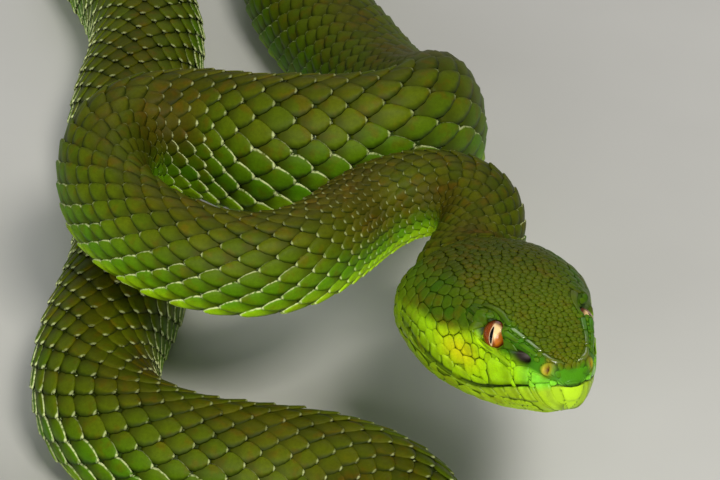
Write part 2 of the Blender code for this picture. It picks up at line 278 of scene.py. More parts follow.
def head_sections(behind):
    """Side and height of the head's outlines, shrunk to a rounded cap ahead of the first."""
    places = np.clip(behind, HEAD_SHAPE[0, 0], HEAD_SHAPE[-1, 0])
    read = cubic_through(HEAD_SHAPE[:, 0], HEAD_SHAPE[:, 1:], places)
    half_width, crown, chin, widest, square = read.T[..., None]
    side, height = outline(half_width, crown - widest, chin + widest, square, CHIN_SQUARENESS)
    ahead = np.minimum(behind, 0.0)[:, None] / SNOUT_CAP
    shrink = np.sqrt(np.clip(1.0 - ahead**2, 1e-4, 1.0))
    return side * shrink, height * shrink + widest


def body_sections(distance):
    """Side and height of the body's outlines, about the centre line; the last of the tail narrows
    to a point along an ellipse."""
    past = np.clip((distance - ROUTE_DISTANCE[-1]) / TAIL_POINT + 1.0, 0.0, 1.0)
    narrow = np.sqrt(np.maximum(1.0 - past**2, LEAST_SHARE))
    height, width = (size[:, None] for size in body_size(distance) * narrow)
    return outline(width / 2.0, height * BACK_SHARE, height * (1.0 - BACK_SHARE),
                   BACK_ROUNDNESS, BELLY_SQUARENESS)


def body_frame(distance):
    """Centre, side axis and up axis of the body's sections, square to the route and level."""
    read = lambda table: np.stack([np.interp(distance, ROUTE_DISTANCE, c) for c in table.T], 1)
    along = unit(read(np.gradient(ROUTE_CENTRE, ROUTE_DISTANCE, axis=0)))
    square = np.clip(1.2 - distance[:, None] / SQUARE_START, 0.0, 1.0)
    along = unit(along * (1.0 - square) - FORWARD * square)
    side_axis = unit(np.cross([0.0, 0.0, 1.0], along))
    return read(ROUTE_CENTRE), side_axis, np.cross(along, side_axis)


def snake_table():
    """Points, section normals, girths and the head's own side and height for every row."""
    melt = smooth(*NECK_BLEND, ALONG)[:, None]
    head_side, head_height, head_girth = evenly_round(*head_sections(ALONG))
    head = head_place(np.broadcast_to(ALONG[:, None], head_side.shape), head_side, head_height)
    centre, side_axis, up_axis = body_frame(ALONG - HEAD_BACK)
    body_side, body_height, body_girth = evenly_round(*body_sections(ALONG - HEAD_BACK))
    body = (centre[:, None] + body_side[..., None] * side_axis[:, None]
            + body_height[..., None] * up_axis[:, None])
    points = head * (1.0 - melt[..., None]) + body * melt[..., None]
    side = head_side * (1.0 - melt) + body_side * melt
    height = head_height * (1.0 - melt) + body_height * melt
    girth = head_girth * (1.0 - melt[:, 0]) + body_girth * melt[:, 0]
    side_axis = unit(LEFT * (1.0 - melt) + side_axis * melt)
    up_axis = unit(UP * (1.0 - melt) + up_axis * melt)
    flat_out = unit(np.stack([np.gradient(height, axis=1), -np.gradient(side, axis=1)], -1))
    outward = flat_out[..., :1] * side_axis[:, None] + flat_out[..., 1:] * up_axis[:, None]
    return points, outward, girth, side, height


POINTS, SECTION_OUT, GIRTHS, SIDES, HEIGHTS = snake_table()
print("table of", POINTS.shape[:2], "points; girth at mid body",
      round(float(np.interp(300.0, ALONG, GIRTHS)), 1), "mm")

# %% [markdown]
# ## The landscape of the head
#
# A viper's face is not a smooth egg. A sharp ridge runs from the brow to the snout, the cheek is
# hollow between it and the lip, and the eye sits in a sunken ring. These are bumps and hollows
# added square to the surface, each a bell shape over its distance from a line or a point. They go
# into the table, so that the plates laid on the face later follow them.

# %% Ridge, hollow and eye ring, and how to read the finished surface
# Behind the snout, side and height of the ridge from the snout's tip to the rear of the brow.
RIDGE = np.array(((0.2, 1.0, 3.6), (0.9, 2.0, 4.3), (1.8, 3.0, 5.0), (3.3, 4.2, 5.5),
                  (5.8, 5.3, 5.8), (7.5, 5.9, 6.0), (9.6, 6.5, 6.3), (12.0, 7.1, 6.7),
                  (15.0, 7.8, 7.0), (18.0, 8.7, 6.8)))
HOLLOW = np.array(((3.0, 4.4, 4.2), (5.0, 5.5, 4.3), (7.5, 6.6, 4.4), (9.8, 7.4, 4.6)))
EYE_AXIS = np.array((-0.32, 0.87, 0.37))      # out of the eye's opening: behind, side, height
RIDGE_RISE, BROW_RISE, CHEEK_RISE, SOCKET_RIM = 0.42, 0.30, 0.35, 0.12
HOLLOW_DEPTH, SOCKET_DEPTH = 0.50, 1.75


def line_distance(line, behind, side, height):
    """Distance from a line along the head, measured within each section, on both sides alike."""
    line_side = np.interp(behind, line[:, 0], line[:, 1])
    line_height = np.interp(behind, line[:, 0], line[:, 2])
    return np.hypot(np.abs(side) - line_side, height - line_height)


def eye_distance(behind, side, height):
    """Distance of a place from the eye's own axis, which points out to the side and a bit up."""
    offset = np.stack([behind - EYE_PLACE[0], np.abs(side) - EYE_PLACE[1],
                       height - EYE_PLACE[2]], -1)
    axis = unit(EYE_AXIS)
    return np.linalg.norm(offset - (offset @ axis)[..., None] * axis, axis=-1)


def landscape(behind, side, height):
    """Millimetres to raise the head's surface: ridge, hollow cheek and sunken eye ring."""
    ridge = RIDGE_RISE + BROW_RISE * bell(behind - 12.5, 2.6)
    ridge *= bell(line_distance(RIDGE, behind, side, height), 0.62)
    ridge *= smooth(-0.1, 1.0, behind) * (1.0 - smooth(15.5, 19.0, behind))
    hollow = -HOLLOW_DEPTH * bell(line_distance(HOLLOW, behind, side, height), 0.95)
    hollow *= smooth(3.0, 5.0, behind) * (1.0 - smooth(9.0, 11.5, behind))
    away = eye_distance(behind, side, height)
    ring = -SOCKET_DEPTH * np.exp(-(away / 2.30) ** 6) + SOCKET_RIM * bell(away - 3.3, 0.6)
    cheek = CHEEK_RISE * bell(behind - 26.0, 6.0) * bell(height - 3.0, 4.0)
    return ridge + hollow + ring + cheek


def table_normals(points):
    """Outward directions: the cross product of the two ways along the table, and where an inner
    bend folds the table over itself, the direction of the section instead."""
    onward = np.gradient(points, ALONG, axis=0)
    ring = np.concatenate([points[:, -2:-1], points, points[:, 1:2]], 1)
    round_ = (ring[:, 2:] - ring[:, :-2]) * AROUND / 2.0
    out = np.cross(round_, onward) / GIRTHS[:, None, None]
    facing = np.sum(out * SECTION_OUT, -1, keepdims=True)
    sign = 1.0 if np.median(facing) > 0.0 else -1.0
    out = np.where(facing * sign > 0.0, out * sign, 0.0)
    return unit(out + 0.25 * SECTION_OUT)


def build_surface():
    """The table with the head's landscape added, and its outward directions."""
    behind = np.broadcast_to(ALONG[:, None], SIDES.shape)
    rise = landscape(behind, SIDES, HEIGHTS) * (ALONG < HEAD_BACK)[:, None]
    points = POINTS + table_normals(POINTS) * rise[..., None]
    on_floor = (points[..., 2] < FLOOR_SNAP) & (ALONG > HEAD_BACK)[:, None]
    points[..., 2] = np.where(on_floor, 0.0, points[..., 2])
    return points + SHIFT, table_normals(points)


SURFACE, NORMALS = build_surface()
# How long a millimetre along the middle is at each place: under 1 inside a bend, over 1 outside.
STRETCH = np.linalg.norm(np.gradient(SURFACE, ALONG, axis=0), axis=-1)


def read_table(table, along, around):
    """A table read between its rows and columns, in straight lines both ways."""
    row = np.interp(along, ALONG, np.arange(len(ALONG)))
    column = np.mod(around, 1.0) * AROUND
    i = np.clip(row.astype(int), 0, len(ALONG) - 2)
    j = np.clip(column.astype(int), 0, AROUND - 1)
    down, across = row - i, column - j
    if table.ndim == 3:
        down, across = down[..., None], across[..., None]
    upper = table[i, j] * (1.0 - across) + table[i, j + 1] * across
    lower = table[i + 1, j] * (1.0 - across) + table[i + 1, j + 1] * across
    return upper * (1.0 - down) + lower * down


def girth_at(along):
    """Way round the snake, in millimetres."""
    return np.interp(along, ALONG, GIRTHS)


# Distance behind the snout and thickness of the coat of scales there.
COAT = np.array(((0.0, 0.26), (34.0, 0.30), (60.0, 0.42), (150.0, 0.56), (560.0, 0.56),
                 (680.0, 0.30), (TAIL_END, 0.12)))


def coat_depth(along):
    """Thickness of the layer of scales: thinnest on the face and the tail's tip."""
    return np.interp(along, COAT[:, 0], COAT[:, 1])


def surface(along, around, lift):
    """A point of the snake: lift is 0 at the skin and 1 at the top of the coat of scales."""
    outward = unit(read_table(NORMALS, along, around))
    raised = (coat_depth(along) * (lift - 1.0))[..., None]
    return read_table(SURFACE, along, around) + outward * raised


head_rise = landscape(ALONG[:, None] * np.ones_like(SIDES), SIDES, HEIGHTS)[ALONG < HEAD_BACK]
print("the head is sunk by up to", round(-float(head_rise.min()), 2), "and raised by up to",
      round(float(head_rise.max()), 2), "mm")

# %% [markdown]
# ## Colours that both layers share
#
# The green comes from two pigments: a yellow layer over a blue-scattering one. Where dark pigment
# lies under them, on the back, the green turns olive, and where the yellow is rich, on the lips and
# beside the belly, it turns to lime. The colour of any place is worked out from the same two
# numbers as its shape, so the skin between two scales always matches them.

# %% Pigments of the snake
def linear(code):
    """An sRGB colour code like #6f7d15 as linear RGB."""
    value = np.array([int(code[i:i + 2], 16) for i in (1, 3, 5)]) / 255.0
    return np.where(value <= 0.04045, value / 12.92, ((value + 0.055) / 1.055) ** 2.4)


BACK_OLIVE = linear("#4b5e06")
BACK_BROWN = linear("#444905")
FOLD_SHADE_BROWN = linear("#3a3406")
NECK_SHADE_OLIVE = linear("#364003")
FLANK_GREEN = linear("#548a07")
BELLY_LIME = linear("#a8d812")
CROWN_OLIVE = linear("#546a07")
CROWN_BACK_SHADE = linear("#3c4a05")
TEMPLE_GREEN = linear("#385e06")
LIP_LIME = linear("#aee80c")
LIP_YELLOW = linear("#f2ec14")
SNOUT_GREEN = linear("#46860c")
CHEEK_GREEN = linear("#3c7006")
FRONT_LIP_GREEN = linear("#86e430")
NOSTRIL_YELLOW = linear("#e2bc30")
REAR_LIP_GREEN = linear("#6c8c0a")
CHIN_LIME = linear("#b4dc24")
MOUTH_LINE_SHADE = linear("#34520a")

CROWDED = (77.0, 9.5)       # the most crowded place of the neck, and how far that reaches

# Behind the snout and height of the mouth's line.
MOUTH = np.array(((-0.6, 1.95), (0.0, 1.85), (1.0, 1.5), (2.4, 0.9), (4.6, 0.0), (7.0, -1.0),
                  (10.3, -2.5), (12.4, -3.3), (15.6, -4.1), (18.3, -4.0), (21.3, -3.1),
                  (24.6, -1.5), (27.0, -0.5), (30.4, 0.0), (32.0, 0.1)))
MOUTH_END = 30.5

# Behind the snout, and degrees above the mouth's line that the colour of the lip reaches.
LIP_REACH = np.array(((0.0, 8.0), (1.2, 18.0), (3.0, 27.0), (6.0, 33.0), (9.5, 38.0), (14.0, 43.0),
                      (20.0, 31.0), (26.0, 17.0), (31.0, 8.0)))


def mouth_height(behind):
    """Height of the mouth's line, by a spline through its listed places."""
    places = np.clip(np.asarray(behind, float), MOUTH[0, 0], MOUTH[-1, 0])
    return cubic_through(MOUTH[:, 0], MOUTH[:, 1:], places.ravel())[:, 0].reshape(places.shape)


def blend(first, second, share):
    """First colour where share is 0, second where it is 1."""
    return first * (1.0 - share[..., None]) + second * share[..., None]


def crowded(along):
    """1 where the neck is pressed together along its length, fading to 0 on both sides."""
    return bell(along - CROWDED[0], CROWDED[1])


def body_colour(along, around):
    """Olive along the back, green on the flanks, lime beside and under the belly, painted shade on
    the neck, and darker brown where the back is folded inside a bend, partly crowded scales and
    partly painted shade."""
    low = np.abs(2.0 * np.mod(around, 1.0) - 1.0)
    wave = 0.04 * np.sin(along / 9.0) + 0.03 * np.sin(along / 3.7 + 6.0 * low)
    colour = blend(BACK_BROWN, BACK_OLIVE, smooth(0.0, 0.22, low + wave))
    colour = blend(colour, FLANK_GREEN, smooth(0.22, 0.62, low + wave))
    # Painted shade: the neck's back is darkened toward olive.
    neck_shade = bell(along - 54.0, 13.0) * (1.0 - smooth(0.45, 0.65, low))
    colour = blend(colour, NECK_SHADE_OLIVE, 0.6 * neck_shade)
    # Inside bends and where the neck crowds, the back turns darker and browner: partly the dark
    # tips of crowded scales, partly painted shade of the fold.
    fold_shade = 1.0 - smooth(0.55, 0.98, read_table(STRETCH, along, around))
    fold_shade = np.maximum(fold_shade, crowded(along))
    colour = blend(colour, FOLD_SHADE_BROWN, 0.90 * fold_shade * (1.0 - smooth(0.35, 0.62, low)))
    return blend(colour, BELLY_LIME, smooth(0.56, 0.72, low + 0.5 * wave))


def head_colour(behind, side, height):
    """Olive crown, green temples, lime lips, and a dark green cheek before the eye."""
    bearing = np.degrees(np.arctan2(height, np.abs(side) + 1e-9))
    half_width = np.interp(behind, HEAD_SHAPE[:, 0], HEAD_SHAPE[:, 1])
    above = np.degrees(np.arctan2(height - mouth_height(behind), half_width))
    # The crown against the temple, whose border falls toward the rear, and the snout's green.
    crown = smooth(40.0, 58.0, bearing + 0.6 * (behind - 14.0))
    # Painted shade darkens the crown toward its back.
    top = blend(CROWN_OLIVE, CROWN_BACK_SHADE, smooth(12.0, 30.0, behind))
    colour = blend(TEMPLE_GREEN, top, crown)
    front = 1.0 - smooth(8.0, 15.0, behind)
    tip = (1.0 - smooth(3.6, 4.3, height)) * (1.0 - smooth(0.8, 2.0, behind))
    snout = np.maximum(front * (1.0 - smooth(50.0, 62.0, bearing)), tip)
    colour = blend(colour, SNOUT_GREEN, snout)
    # The hollow cheek, then the lip: greener in front, with a yellow patch behind the eye.
    cheek = bell(line_distance(HOLLOW, behind, side, height), 1.9) * smooth(3.4, 5.4, behind)
    colour = blend(colour, CHEEK_GREEN, cheek * (1.0 - smooth(9.5, 12.5, behind)))
    reach = np.interp(behind, LIP_REACH[:, 0], LIP_REACH[:, 1])
    lip = 1.0 - smooth(reach - 4.0, reach + 3.0, above)
    tone = blend(FRONT_LIP_GREEN, LIP_LIME, smooth(2.0, 7.0, behind))
    colour = blend(colour, tone, lip)
    spot = bell(behind - 16.5, 3.4) * bell(height - 0.6, 2.2)
    colour = blend(colour, LIP_YELLOW, spot * 0.9)
    # Round the nostril, below the mouth, the rear of the lip, and painted shade along the line of
    # the mouth.
    nostril = bell(behind - 1.6, 0.45) * bell(height - 3.6, 0.75) * smooth(1.5, 2.6, np.abs(side))
    colour = blend(colour, NOSTRIL_YELLOW, nostril)
    below = smooth(0.5, 3.0, -above)
    below *= 1.0 - 0.45 * smooth(12.0, 30.0, behind)
    colour = blend(colour, CHIN_LIME, below)
    rear = smooth(13.0, 26.0, behind) * (1.0 - smooth(4.0, 30.0, above))
    colour = blend(colour, REAR_LIP_GREEN, 0.75 * rear)
    # Painted shade along the line of the mouth.
    edge = bell(height - mouth_height(behind), 0.45) * smooth(9.0, 13.0, behind)
    return blend(colour, MOUTH_LINE_SHADE, 0.8 * edge * (1.0 - smooth(29.0, 31.0, behind)))


def pigment(along, around):
    """Linear RGB of any place: the head's colours, melting into the body's on the neck."""
    head = head_colour(along, read_table(SIDES, along, around), read_table(HEIGHTS, along, around))
    return blend(head, body_colour(along, around), smooth(33.0, 46.0, along))


def rim_highlight_share(along, around):
    """How far the pale edge and its painted highlight run round a scale: a little of its tip on the
    back, its whole upper edge on the flanks, almost nothing where the neck is crowded."""
    low = np.abs(2.0 * np.mod(around, 1.0) - 1.0)
    return (0.2 + 0.8 * smooth(0.12, 0.42, low)) * (1.0 - 0.9 * crowded(along))


print("mid back", np.round(pigment(np.array([300.0]), np.array([0.5])), 3))

# %% [markdown]
# ## From arrays to meshes
#
# Every piece is built the same way: numpy makes all the points, the faces are lists of point
# numbers, and Blender takes them in one call. Two facts are kept with each point besides its
# pigment: its place within its own scale (`leaf`: along, and across toward the back), and a number
# that differs from scale to scale. A coat piece also carries an unwrap in which every scale is a
# tiny patch at its root's place: distance along the snake one way, way round it the other.

# %% Meshes with their attributes and unwrap
SCALE_PATCH = 0.003             # width of each scale's patch on the unwrap
UNWRAP_SPAN, UNWRAP_EDGE = 0.96, 0.02


def make_piece(name, points, faces, colours, leaf, finishes):
    """A smooth mesh in metres from points in millimetres, with its pigment and leaf places."""
    mesh = bpy.data.meshes.new(name)
    mesh.from_pydata((points * MM).tolist(), [], faces)
    mesh.shade_smooth()
    paint = mesh.attributes.new("pigment", "FLOAT_COLOR", "POINT")
    full = np.ones((len(points), 4 - colours.shape[1]))
    paint.data.foreach_set("color", np.hstack([colours, full]).ravel())
    place = mesh.attributes.new("leaf", "FLOAT_VECTOR", "POINT")
    place.data.foreach_set("vector", np.asarray(leaf, float).ravel())
    for finish in finishes:
        mesh.materials.append(finish)
    piece = bpy.data.objects.new(name, mesh)
    bpy.context.scene.collection.objects.link(piece)
    triangles = sum(len(face) - 2 for face in faces)
    print(name, "has", len(faces), "faces,", triangles, "triangles")
    return piece


def repeated(faces, corners, count):
    """The same faces for every copy of a template with this many corners."""
    shifted = np.asarray(faces)[None] + corners * np.arange(count)[:, None, None]
    return shifted.reshape(-1, shifted.shape[-1]).tolist()


def laid_scales(along, around, place, turn, lift, leaf, tops, bottom, finish):
    """A set of scales: where each one's root is, where its points lie, and its template's faces."""
    lift = np.broadcast_to(lift, place.shape)
    patch = leaf[..., :2] * (1.0, 0.5)
    to_back = np.where(np.mod(around, 1.0) < 0.5, 1.0, -1.0)[:, None]
    leaf = np.stack([leaf[..., 0], leaf[..., 1] * to_back, leaf[..., 2]], -1)
    paint = np.concatenate([pigment(np.clip(place, -SNOUT_CAP, TAIL_END), turn),
                            rim_highlight_share(place, turn)[..., None]], -1)
    return {"points": surface(place, turn, lift), "leaf": leaf, "root": (along, around),
            "patch": patch, "colours": paint, "finish": finish,
            "tops": tops, "bottom": bottom}


def make_coat(name, sets):
    """One coat piece from sets of scales, closed below, each with its patch on the unwrap."""
    points, colours, leaf, faces, slots, flat, unwrap, first = [], [], [], [], [], [], [], 0
    low = min(s["root"][0].min() for s in sets)
    span = max(s["root"][0].max() for s in sets) - low
    for slot, part in enumerate(sets):
        count, corners = part["points"].shape[:2]
        for group, below in [(top, False) for top in part["tops"]] + [(part["bottom"], True)]:
            copies = (np.array(repeated(group, corners, count)) + first).tolist()
            faces += copies
            slots += [slot] * len(copies)
            flat += [below] * len(copies)
        root = np.stack([(part["root"][0] - low) / span, np.mod(part["root"][1], 1.0)], -1)
        patch = root[:, None] * UNWRAP_SPAN + UNWRAP_EDGE + SCALE_PATCH * part["patch"]
        unwrap.append(patch.reshape(-1, 2))
        points.append(part["points"].reshape(-1, 3))
        colours.append(part["colours"].reshape(-1, 4))
        leaf.append(part["leaf"].reshape(-1, 3))
        first += count * corners
    piece = make_piece(name, np.vstack(points), faces, np.vstack(colours), np.vstack(leaf),
                       [part["finish"] for part in sets])
    mesh = piece.data
    mesh.polygons.foreach_set("material_index", slots)
    mesh.polygons.foreach_set("use_smooth", ~np.array(flat))
    corner = np.zeros(len(mesh.loops), int)
    mesh.loops.foreach_get("vertex_index", corner)
    layer = mesh.uv_layers.new(name="OFBake")
    layer.data.foreach_set("uv", np.vstack(unwrap)[corner].ravel())
    return piece

# %% [markdown]
# ## Finishes
#
# Scales are keratin, the stuff of finger nails: nearly clear and satin, matt on the keeled back,
# glossier on the head plates, and polished on the ridge of the snout. One recipe serves all of
# them. It starts from the pigment kept in the mesh, then adds what happens inside one scale: a
# darker root, a painted shadow along the lower edge, a pale edge at the tip and toward the back
# that is worn in places and on the upper side is also a painted highlight, rust-brown blotches,
# and a mottle of about half a millimetre. The skin between the scales takes the same pigment, much
# darker, partly its own tone and partly painted shade of the gaps, with pale flecks on the body.

# %% Node helper, horn and skin
def add(tree, kind, inputs=None, **settings):
    """One node with its settings; each input is a value or the socket that feeds it."""
    made = tree.nodes.new(kind)
    for key, value in settings.items():
        setattr(made, key, value)
    for key, value in (inputs or {}).items():
        if isinstance(value, bpy.types.NodeSocket):
            tree.links.new(value, made.inputs[key])
        else:
            made.inputs[key].default_value = value
    return made


def number(tree, operation, first, second=0.5, third=0.5):
    """The result of one sum on numbers or sockets."""
    return add(tree, "ShaderNodeMath", {0: first, 1: second, 2: third},
               operation=operation).outputs[0]


def ramp(tree, value, low, high):
    """0 below low and 1 above high, with a smooth rise; low may lie above high."""
    return add(tree, "ShaderNodeMapRange", {"Value": value, "From Min": low, "From Max": high},
               interpolation_type="SMOOTHSTEP").outputs[0]


def mixed(tree, share, first, second, kind="MIX"):
    """Two colours mixed by a share, which may be a socket."""
    made = add(tree, "ShaderNodeMix", {0: share, 6: first, 7: second},
               data_type="RGBA", blend_type=kind)
    return made.outputs[2]


def opaque(colour):
    """A linear colour with its alpha."""
    return (*colour, 1.0)


HORN_IOR, RIDGE_COAT_IOR = 1.52, 1.8
SPECULAR_LEVEL, COAT_ROUGHNESS = 0.07, 0.22


def new_finish(name, roughness, gloss):
    """An empty finish with its shader: roughness and the strength of its clear top layer."""
    finish = bpy.data.materials.new(name)
    finish.use_nodes = True
    tree = finish.node_tree
    shader = tree.nodes["Principled BSDF"]
    shader.inputs["Roughness"].default_value = roughness
    shader.inputs["IOR"].default_value = HORN_IOR
    shader.inputs["Specular IOR Level"].default_value = SPECULAR_LEVEL
    shader.inputs["Coat Weight"].default_value = gloss
    shader.inputs["Coat Roughness"].default_value = COAT_ROUGHNESS
    return finish, tree, shader


def cloudy(tree, grain, detail=3.0):
    """A cloudy noise whose spots are about grain millimetres across."""
    where = add(tree, "ShaderNodeTexCoord").outputs["Object"]
    return add(tree, "ShaderNodeTexNoise", {"Vector": where, "Scale": 1.0 / (grain * MM),
                                            "Detail": detail}).outputs["Fac"]


def relief(tree, shader, height, depth):
    """Bump from a height between 0 and 1, depth millimetres deep."""
    bump = add(tree, "ShaderNodeBump", {"Height": height, "Distance": depth * MM,
                                        "Strength": 1.0})
    tree.links.new(bump.outputs["Normal"], shader.inputs["Normal"])


WARM_HORN = linear("#7a7208")
RUST_BLOTCH = linear("#6a4405")
ROOT_OLIVE = linear("#343a06")
LOWER_EDGE_SHADOW = linear("#1c2804")
LIME_BORDER_SHADE = linear("#2a4a08")
STRETCHED_DARK_AND_SHADE = linear("#1c240a")
STRETCHED_FLECK = linear("#b8c487")
BLOTCH_SIZE = 2.4       # millimetres across
HORN_RELIEF, SKIN_RELIEF = 0.015, 0.05


def horn(name, edge_and_highlight_colour, edge, root, shadow, rust, roughness, gloss, grain=0.55, seam=0.0):
    """Keratin scales, made of shares from 0 to 1: the pale edge at the tip and toward the back,
    which on the upper side is also a painted highlight, the dark root, the painted shadow on the
    edge toward the belly, the rust-brown blotches, and the dark border of the lime scales, partly
    their dark seam and partly painted shade. Grain is the size of the mottle in millimetres."""
    finish, tree, shader = new_finish(name, roughness, gloss)
    paint = add(tree, "ShaderNodeAttribute", attribute_name="pigment")
    base, rim_highlight = paint.outputs["Color"], paint.outputs["Alpha"]
    leaf = add(tree, "ShaderNodeAttribute", attribute_name="leaf").outputs["Vector"]
    parts = add(tree, "ShaderNodeSeparateXYZ", {0: leaf})
    along, across, chance = parts.outputs[0], parts.outputs[1], parts.outputs[2]
    cloud = cloudy(tree, grain)
    fine = cloudy(tree, grain * 0.25, 2.0)
    # Some scales are yellower than their neighbours.
    warm = mixed(tree, number(tree, "MULTIPLY", chance, 0.20), base, opaque(WARM_HORN))
    blotch = ramp(tree, cloudy(tree, BLOTCH_SIZE), 0.50, 0.70)
    warm = mixed(tree, number(tree, "MULTIPLY", blotch, rust), warm, opaque(RUST_BLOTCH))
    shade = number(tree, "MULTIPLY_ADD", cloud, 0.50, 0.70)
    shade = number(tree, "MULTIPLY", shade, number(tree, "MULTIPLY_ADD", fine, 0.30, 0.86))
    grey = add(tree, "ShaderNodeCombineColor", {0: shade, 1: shade, 2: shade}).outputs[0]
    colour = mixed(tree, 1.0, warm, grey, "MULTIPLY")
    # The root is darker and browner.
    deep = number(tree, "MULTIPLY", ramp(tree, along, 0.62, 0.18), root)
    colour = mixed(tree, deep, colour, opaque(ROOT_OLIVE))
    # A painted shadow darkens each scale's edge toward the belly.
    under_shadow = number(tree, "MULTIPLY", ramp(tree, across, -0.40, -0.95), shadow)
    colour = mixed(tree, under_shadow, colour, opaque(LOWER_EDGE_SHADOW))
    # The pale edge lies where either the tip or the upper side is near, and is worn in places;
    # along the upper side it is also a painted highlight.
    tip = number(tree, "MULTIPLY_ADD", along, 2.6, -1.6)
    upper = number(tree, "MULTIPLY_ADD", rim_highlight, 0.40, number(tree, "SUBTRACT", across, 0.40))
    border = ramp(tree, number(tree, "MAXIMUM", upper, tip), 0.80, 0.93)
    border = number(tree, "MULTIPLY", border, ramp(tree, along, 0.30, 0.50))
    worn_and_highlit = number(tree, "MULTIPLY", ramp(tree, cloud, 0.30, 0.58), edge)
    worn_and_highlit = number(tree, "MULTIPLY", worn_and_highlit, number(tree, "MULTIPLY_ADD", rim_highlight, 0.80, 0.20))
    colour = mixed(tree, number(tree, "MULTIPLY", border, worn_and_highlit), colour, opaque(edge_and_highlight_colour))
    # A grain's place runs from -1 to 1 both ways, so its border is where the two make up 1.
    # Lime grains get a dark border: partly the dark skin between grains, partly painted shade of
    # the seam.
    if seam:
        lengthways = number(tree, "MULTIPLY_ADD", along, 2.0, -1.0)
        far = number(tree, "SQRT", number(tree, "ADD", number(tree, "POWER", lengthways, 2.0),
                                          number(tree, "POWER", across, 2.0)))
        dark = number(tree, "MULTIPLY", ramp(tree, base, 0.18, 0.45), seam)
        dark = number(tree, "MULTIPLY", ramp(tree, far, 0.80, 0.98), dark)
        colour = mixed(tree, dark, colour, opaque(LIME_BORDER_SHADE))
    tree.links.new(colour, shader.inputs["Base Color"])
    relief(tree, shader, fine, HORN_RELIEF)
    return finish


def stretch_skin(name):
    """Soft skin between the scales: the same pigment, dark, partly its own tone and partly painted
    shade of the gaps, with folds and pale flecks.
    """
    finish, tree, shader = new_finish(name, 0.50, 0.10)
    base = add(tree, "ShaderNodeAttribute", attribute_name="pigment").outputs["Color"]
    leaf = add(tree, "ShaderNodeAttribute", attribute_name="leaf").outputs["Vector"]
    parts = add(tree, "ShaderNodeSeparateXYZ", {0: leaf})
    cloud = cloudy(tree, 0.5)
    fold = cloudy(tree, 0.22, 2.0)
    dark = mixed(tree, parts.outputs[0], base, opaque(STRETCHED_DARK_AND_SHADE))
    fleck = number(tree, "MULTIPLY", ramp(tree, cloud, 0.60, 0.72), parts.outputs[1])
    colour = mixed(tree, fleck, dark, opaque(STRETCHED_FLECK))
    tree.links.new(colour, shader.inputs["Base Color"])
    relief(tree, shader, fold, SKIN_RELIEF)
    return finish


# The edge colours: pale horn, which on each scale's upper side also gives a painted highlight.
PALE_EDGE_AND_HIGHLIGHT = linear("#dde6a4")
BELLY_EDGE_COLOUR = linear("#e2e89a")
GRAIN_EDGE_COLOUR = linear("#8d9a2e")
PLATE_EDGE_COLOUR = linear("#d9ee74")
BACK_HORN = horn("keeled_back_horn", PALE_EDGE_AND_HIGHLIGHT, edge=0.90, root=0.75, shadow=0.80, rust=0.30,
                 roughness=0.48, gloss=0.0)
TAIL_HORN = horn("tail_scale_horn", PALE_EDGE_AND_HIGHLIGHT, edge=0.55, root=0.55, shadow=0.50, rust=0.30,
                 roughness=0.42, gloss=0.10)
BELLY_HORN = horn("smooth_belly_horn", BELLY_EDGE_COLOUR, edge=0.55, root=0.45, shadow=0.0,
                  rust=0.0, roughness=0.32, gloss=0.25)
GRAIN_HORN = horn("crown_grain_horn", GRAIN_EDGE_COLOUR, edge=0.10, root=0.18, shadow=0.10,
                  rust=0.30, roughness=0.40, gloss=0.05, grain=0.35, seam=0.75)
PLATE_HORN = horn("smooth_face_horn", PLATE_EDGE_COLOUR, edge=0.15, root=0.30, shadow=0.45,
                  rust=0.0, roughness=0.30, gloss=0.30, grain=0.9)
RIDGE_HORN = horn("polished_ridge_horn", PLATE_EDGE_COLOUR, edge=0.15, root=0.10, shadow=0.10,
                  rust=0.0, roughness=0.20, gloss=1.0, grain=0.9)
RIDGE_HORN.node_tree.nodes["Principled BSDF"].inputs["Coat IOR"].default_value = RIDGE_COAT_IOR
SKIN = stretch_skin("stretched_skin")
print("finishes:", [material.name for material in bpy.data.materials])

# %% [markdown]
# ## The skin
#
# On a real snake the skin is one elastic sleeve, so here it is one closed mesh. The head gets rows
# a fifth of a millimetre apart, fine enough for the lip line, the heat pit and the nostril. Behind
# the head the rows open out and the columns halve three times, because scales hide the rest.
#
# The heat pit is the viper's own sense organ: a hollow between eye and nostril, with a thin
# membrane that feels warmth.

# %% Skin of the whole snake
# On the snout's cap and the tail's point the rows follow a quarter circle.
SNOUT_ROWS = -SNOUT_CAP * np.cos(np.linspace(0.12, 1.5, 14))
POINT_ROWS = TAIL_END - TAIL_POINT * np.cos(np.linspace(0.06, 1.57, 30))
# Rows of each part, and its columns.
SKIN_PARTS = (
    (np.concatenate([SNOUT_ROWS, np.arange(0.1, 36.0, 0.2)]), 320),
    (np.arange(36.2, 50.0, 0.6), 160),
    (np.arange(50.8, 66.0, 1.2), 80),
    (np.concatenate([np.arange(67.0, TAIL_END - TAIL_POINT, 2.0), POINT_ROWS]), 40),
)
PIT = (5.95, 3.95, 1.45, 0.90)          # behind, height, half length, half height
NOSTRIL = (1.55, 3.65, 0.22, 0.62)
PLATE_RISE, LIP_DEPTH, CHIN_DEPTH, PIT_DEPTH, NOSTRIL_DEPTH = 0.18, 0.42, 0.35, 1.35, 0.55
PIT_SHADE_BROWN = linear("#2c1a14")
MEMBRANE_HIGHLIGHT_GREY = linear("#9a8a84")
LIP_SHADE = linear("#2c4a0c")
SOCKET_SHADE = linear("#101a04")
NOSTRIL_SHADE_BROWN = linear("#5a3a10")
SEAM_SHADE = linear("#1e3006")


def hole(shape, behind, side, height):
    """1 in an oval hole and 0 outside, on both sides of the head: e to the minus distance^4."""
    offset = np.hypot((behind - shape[0]) / shape[2], (height - shape[1]) / shape[3])
    return np.exp(-offset**4) * (np.abs(side) > 1.5)


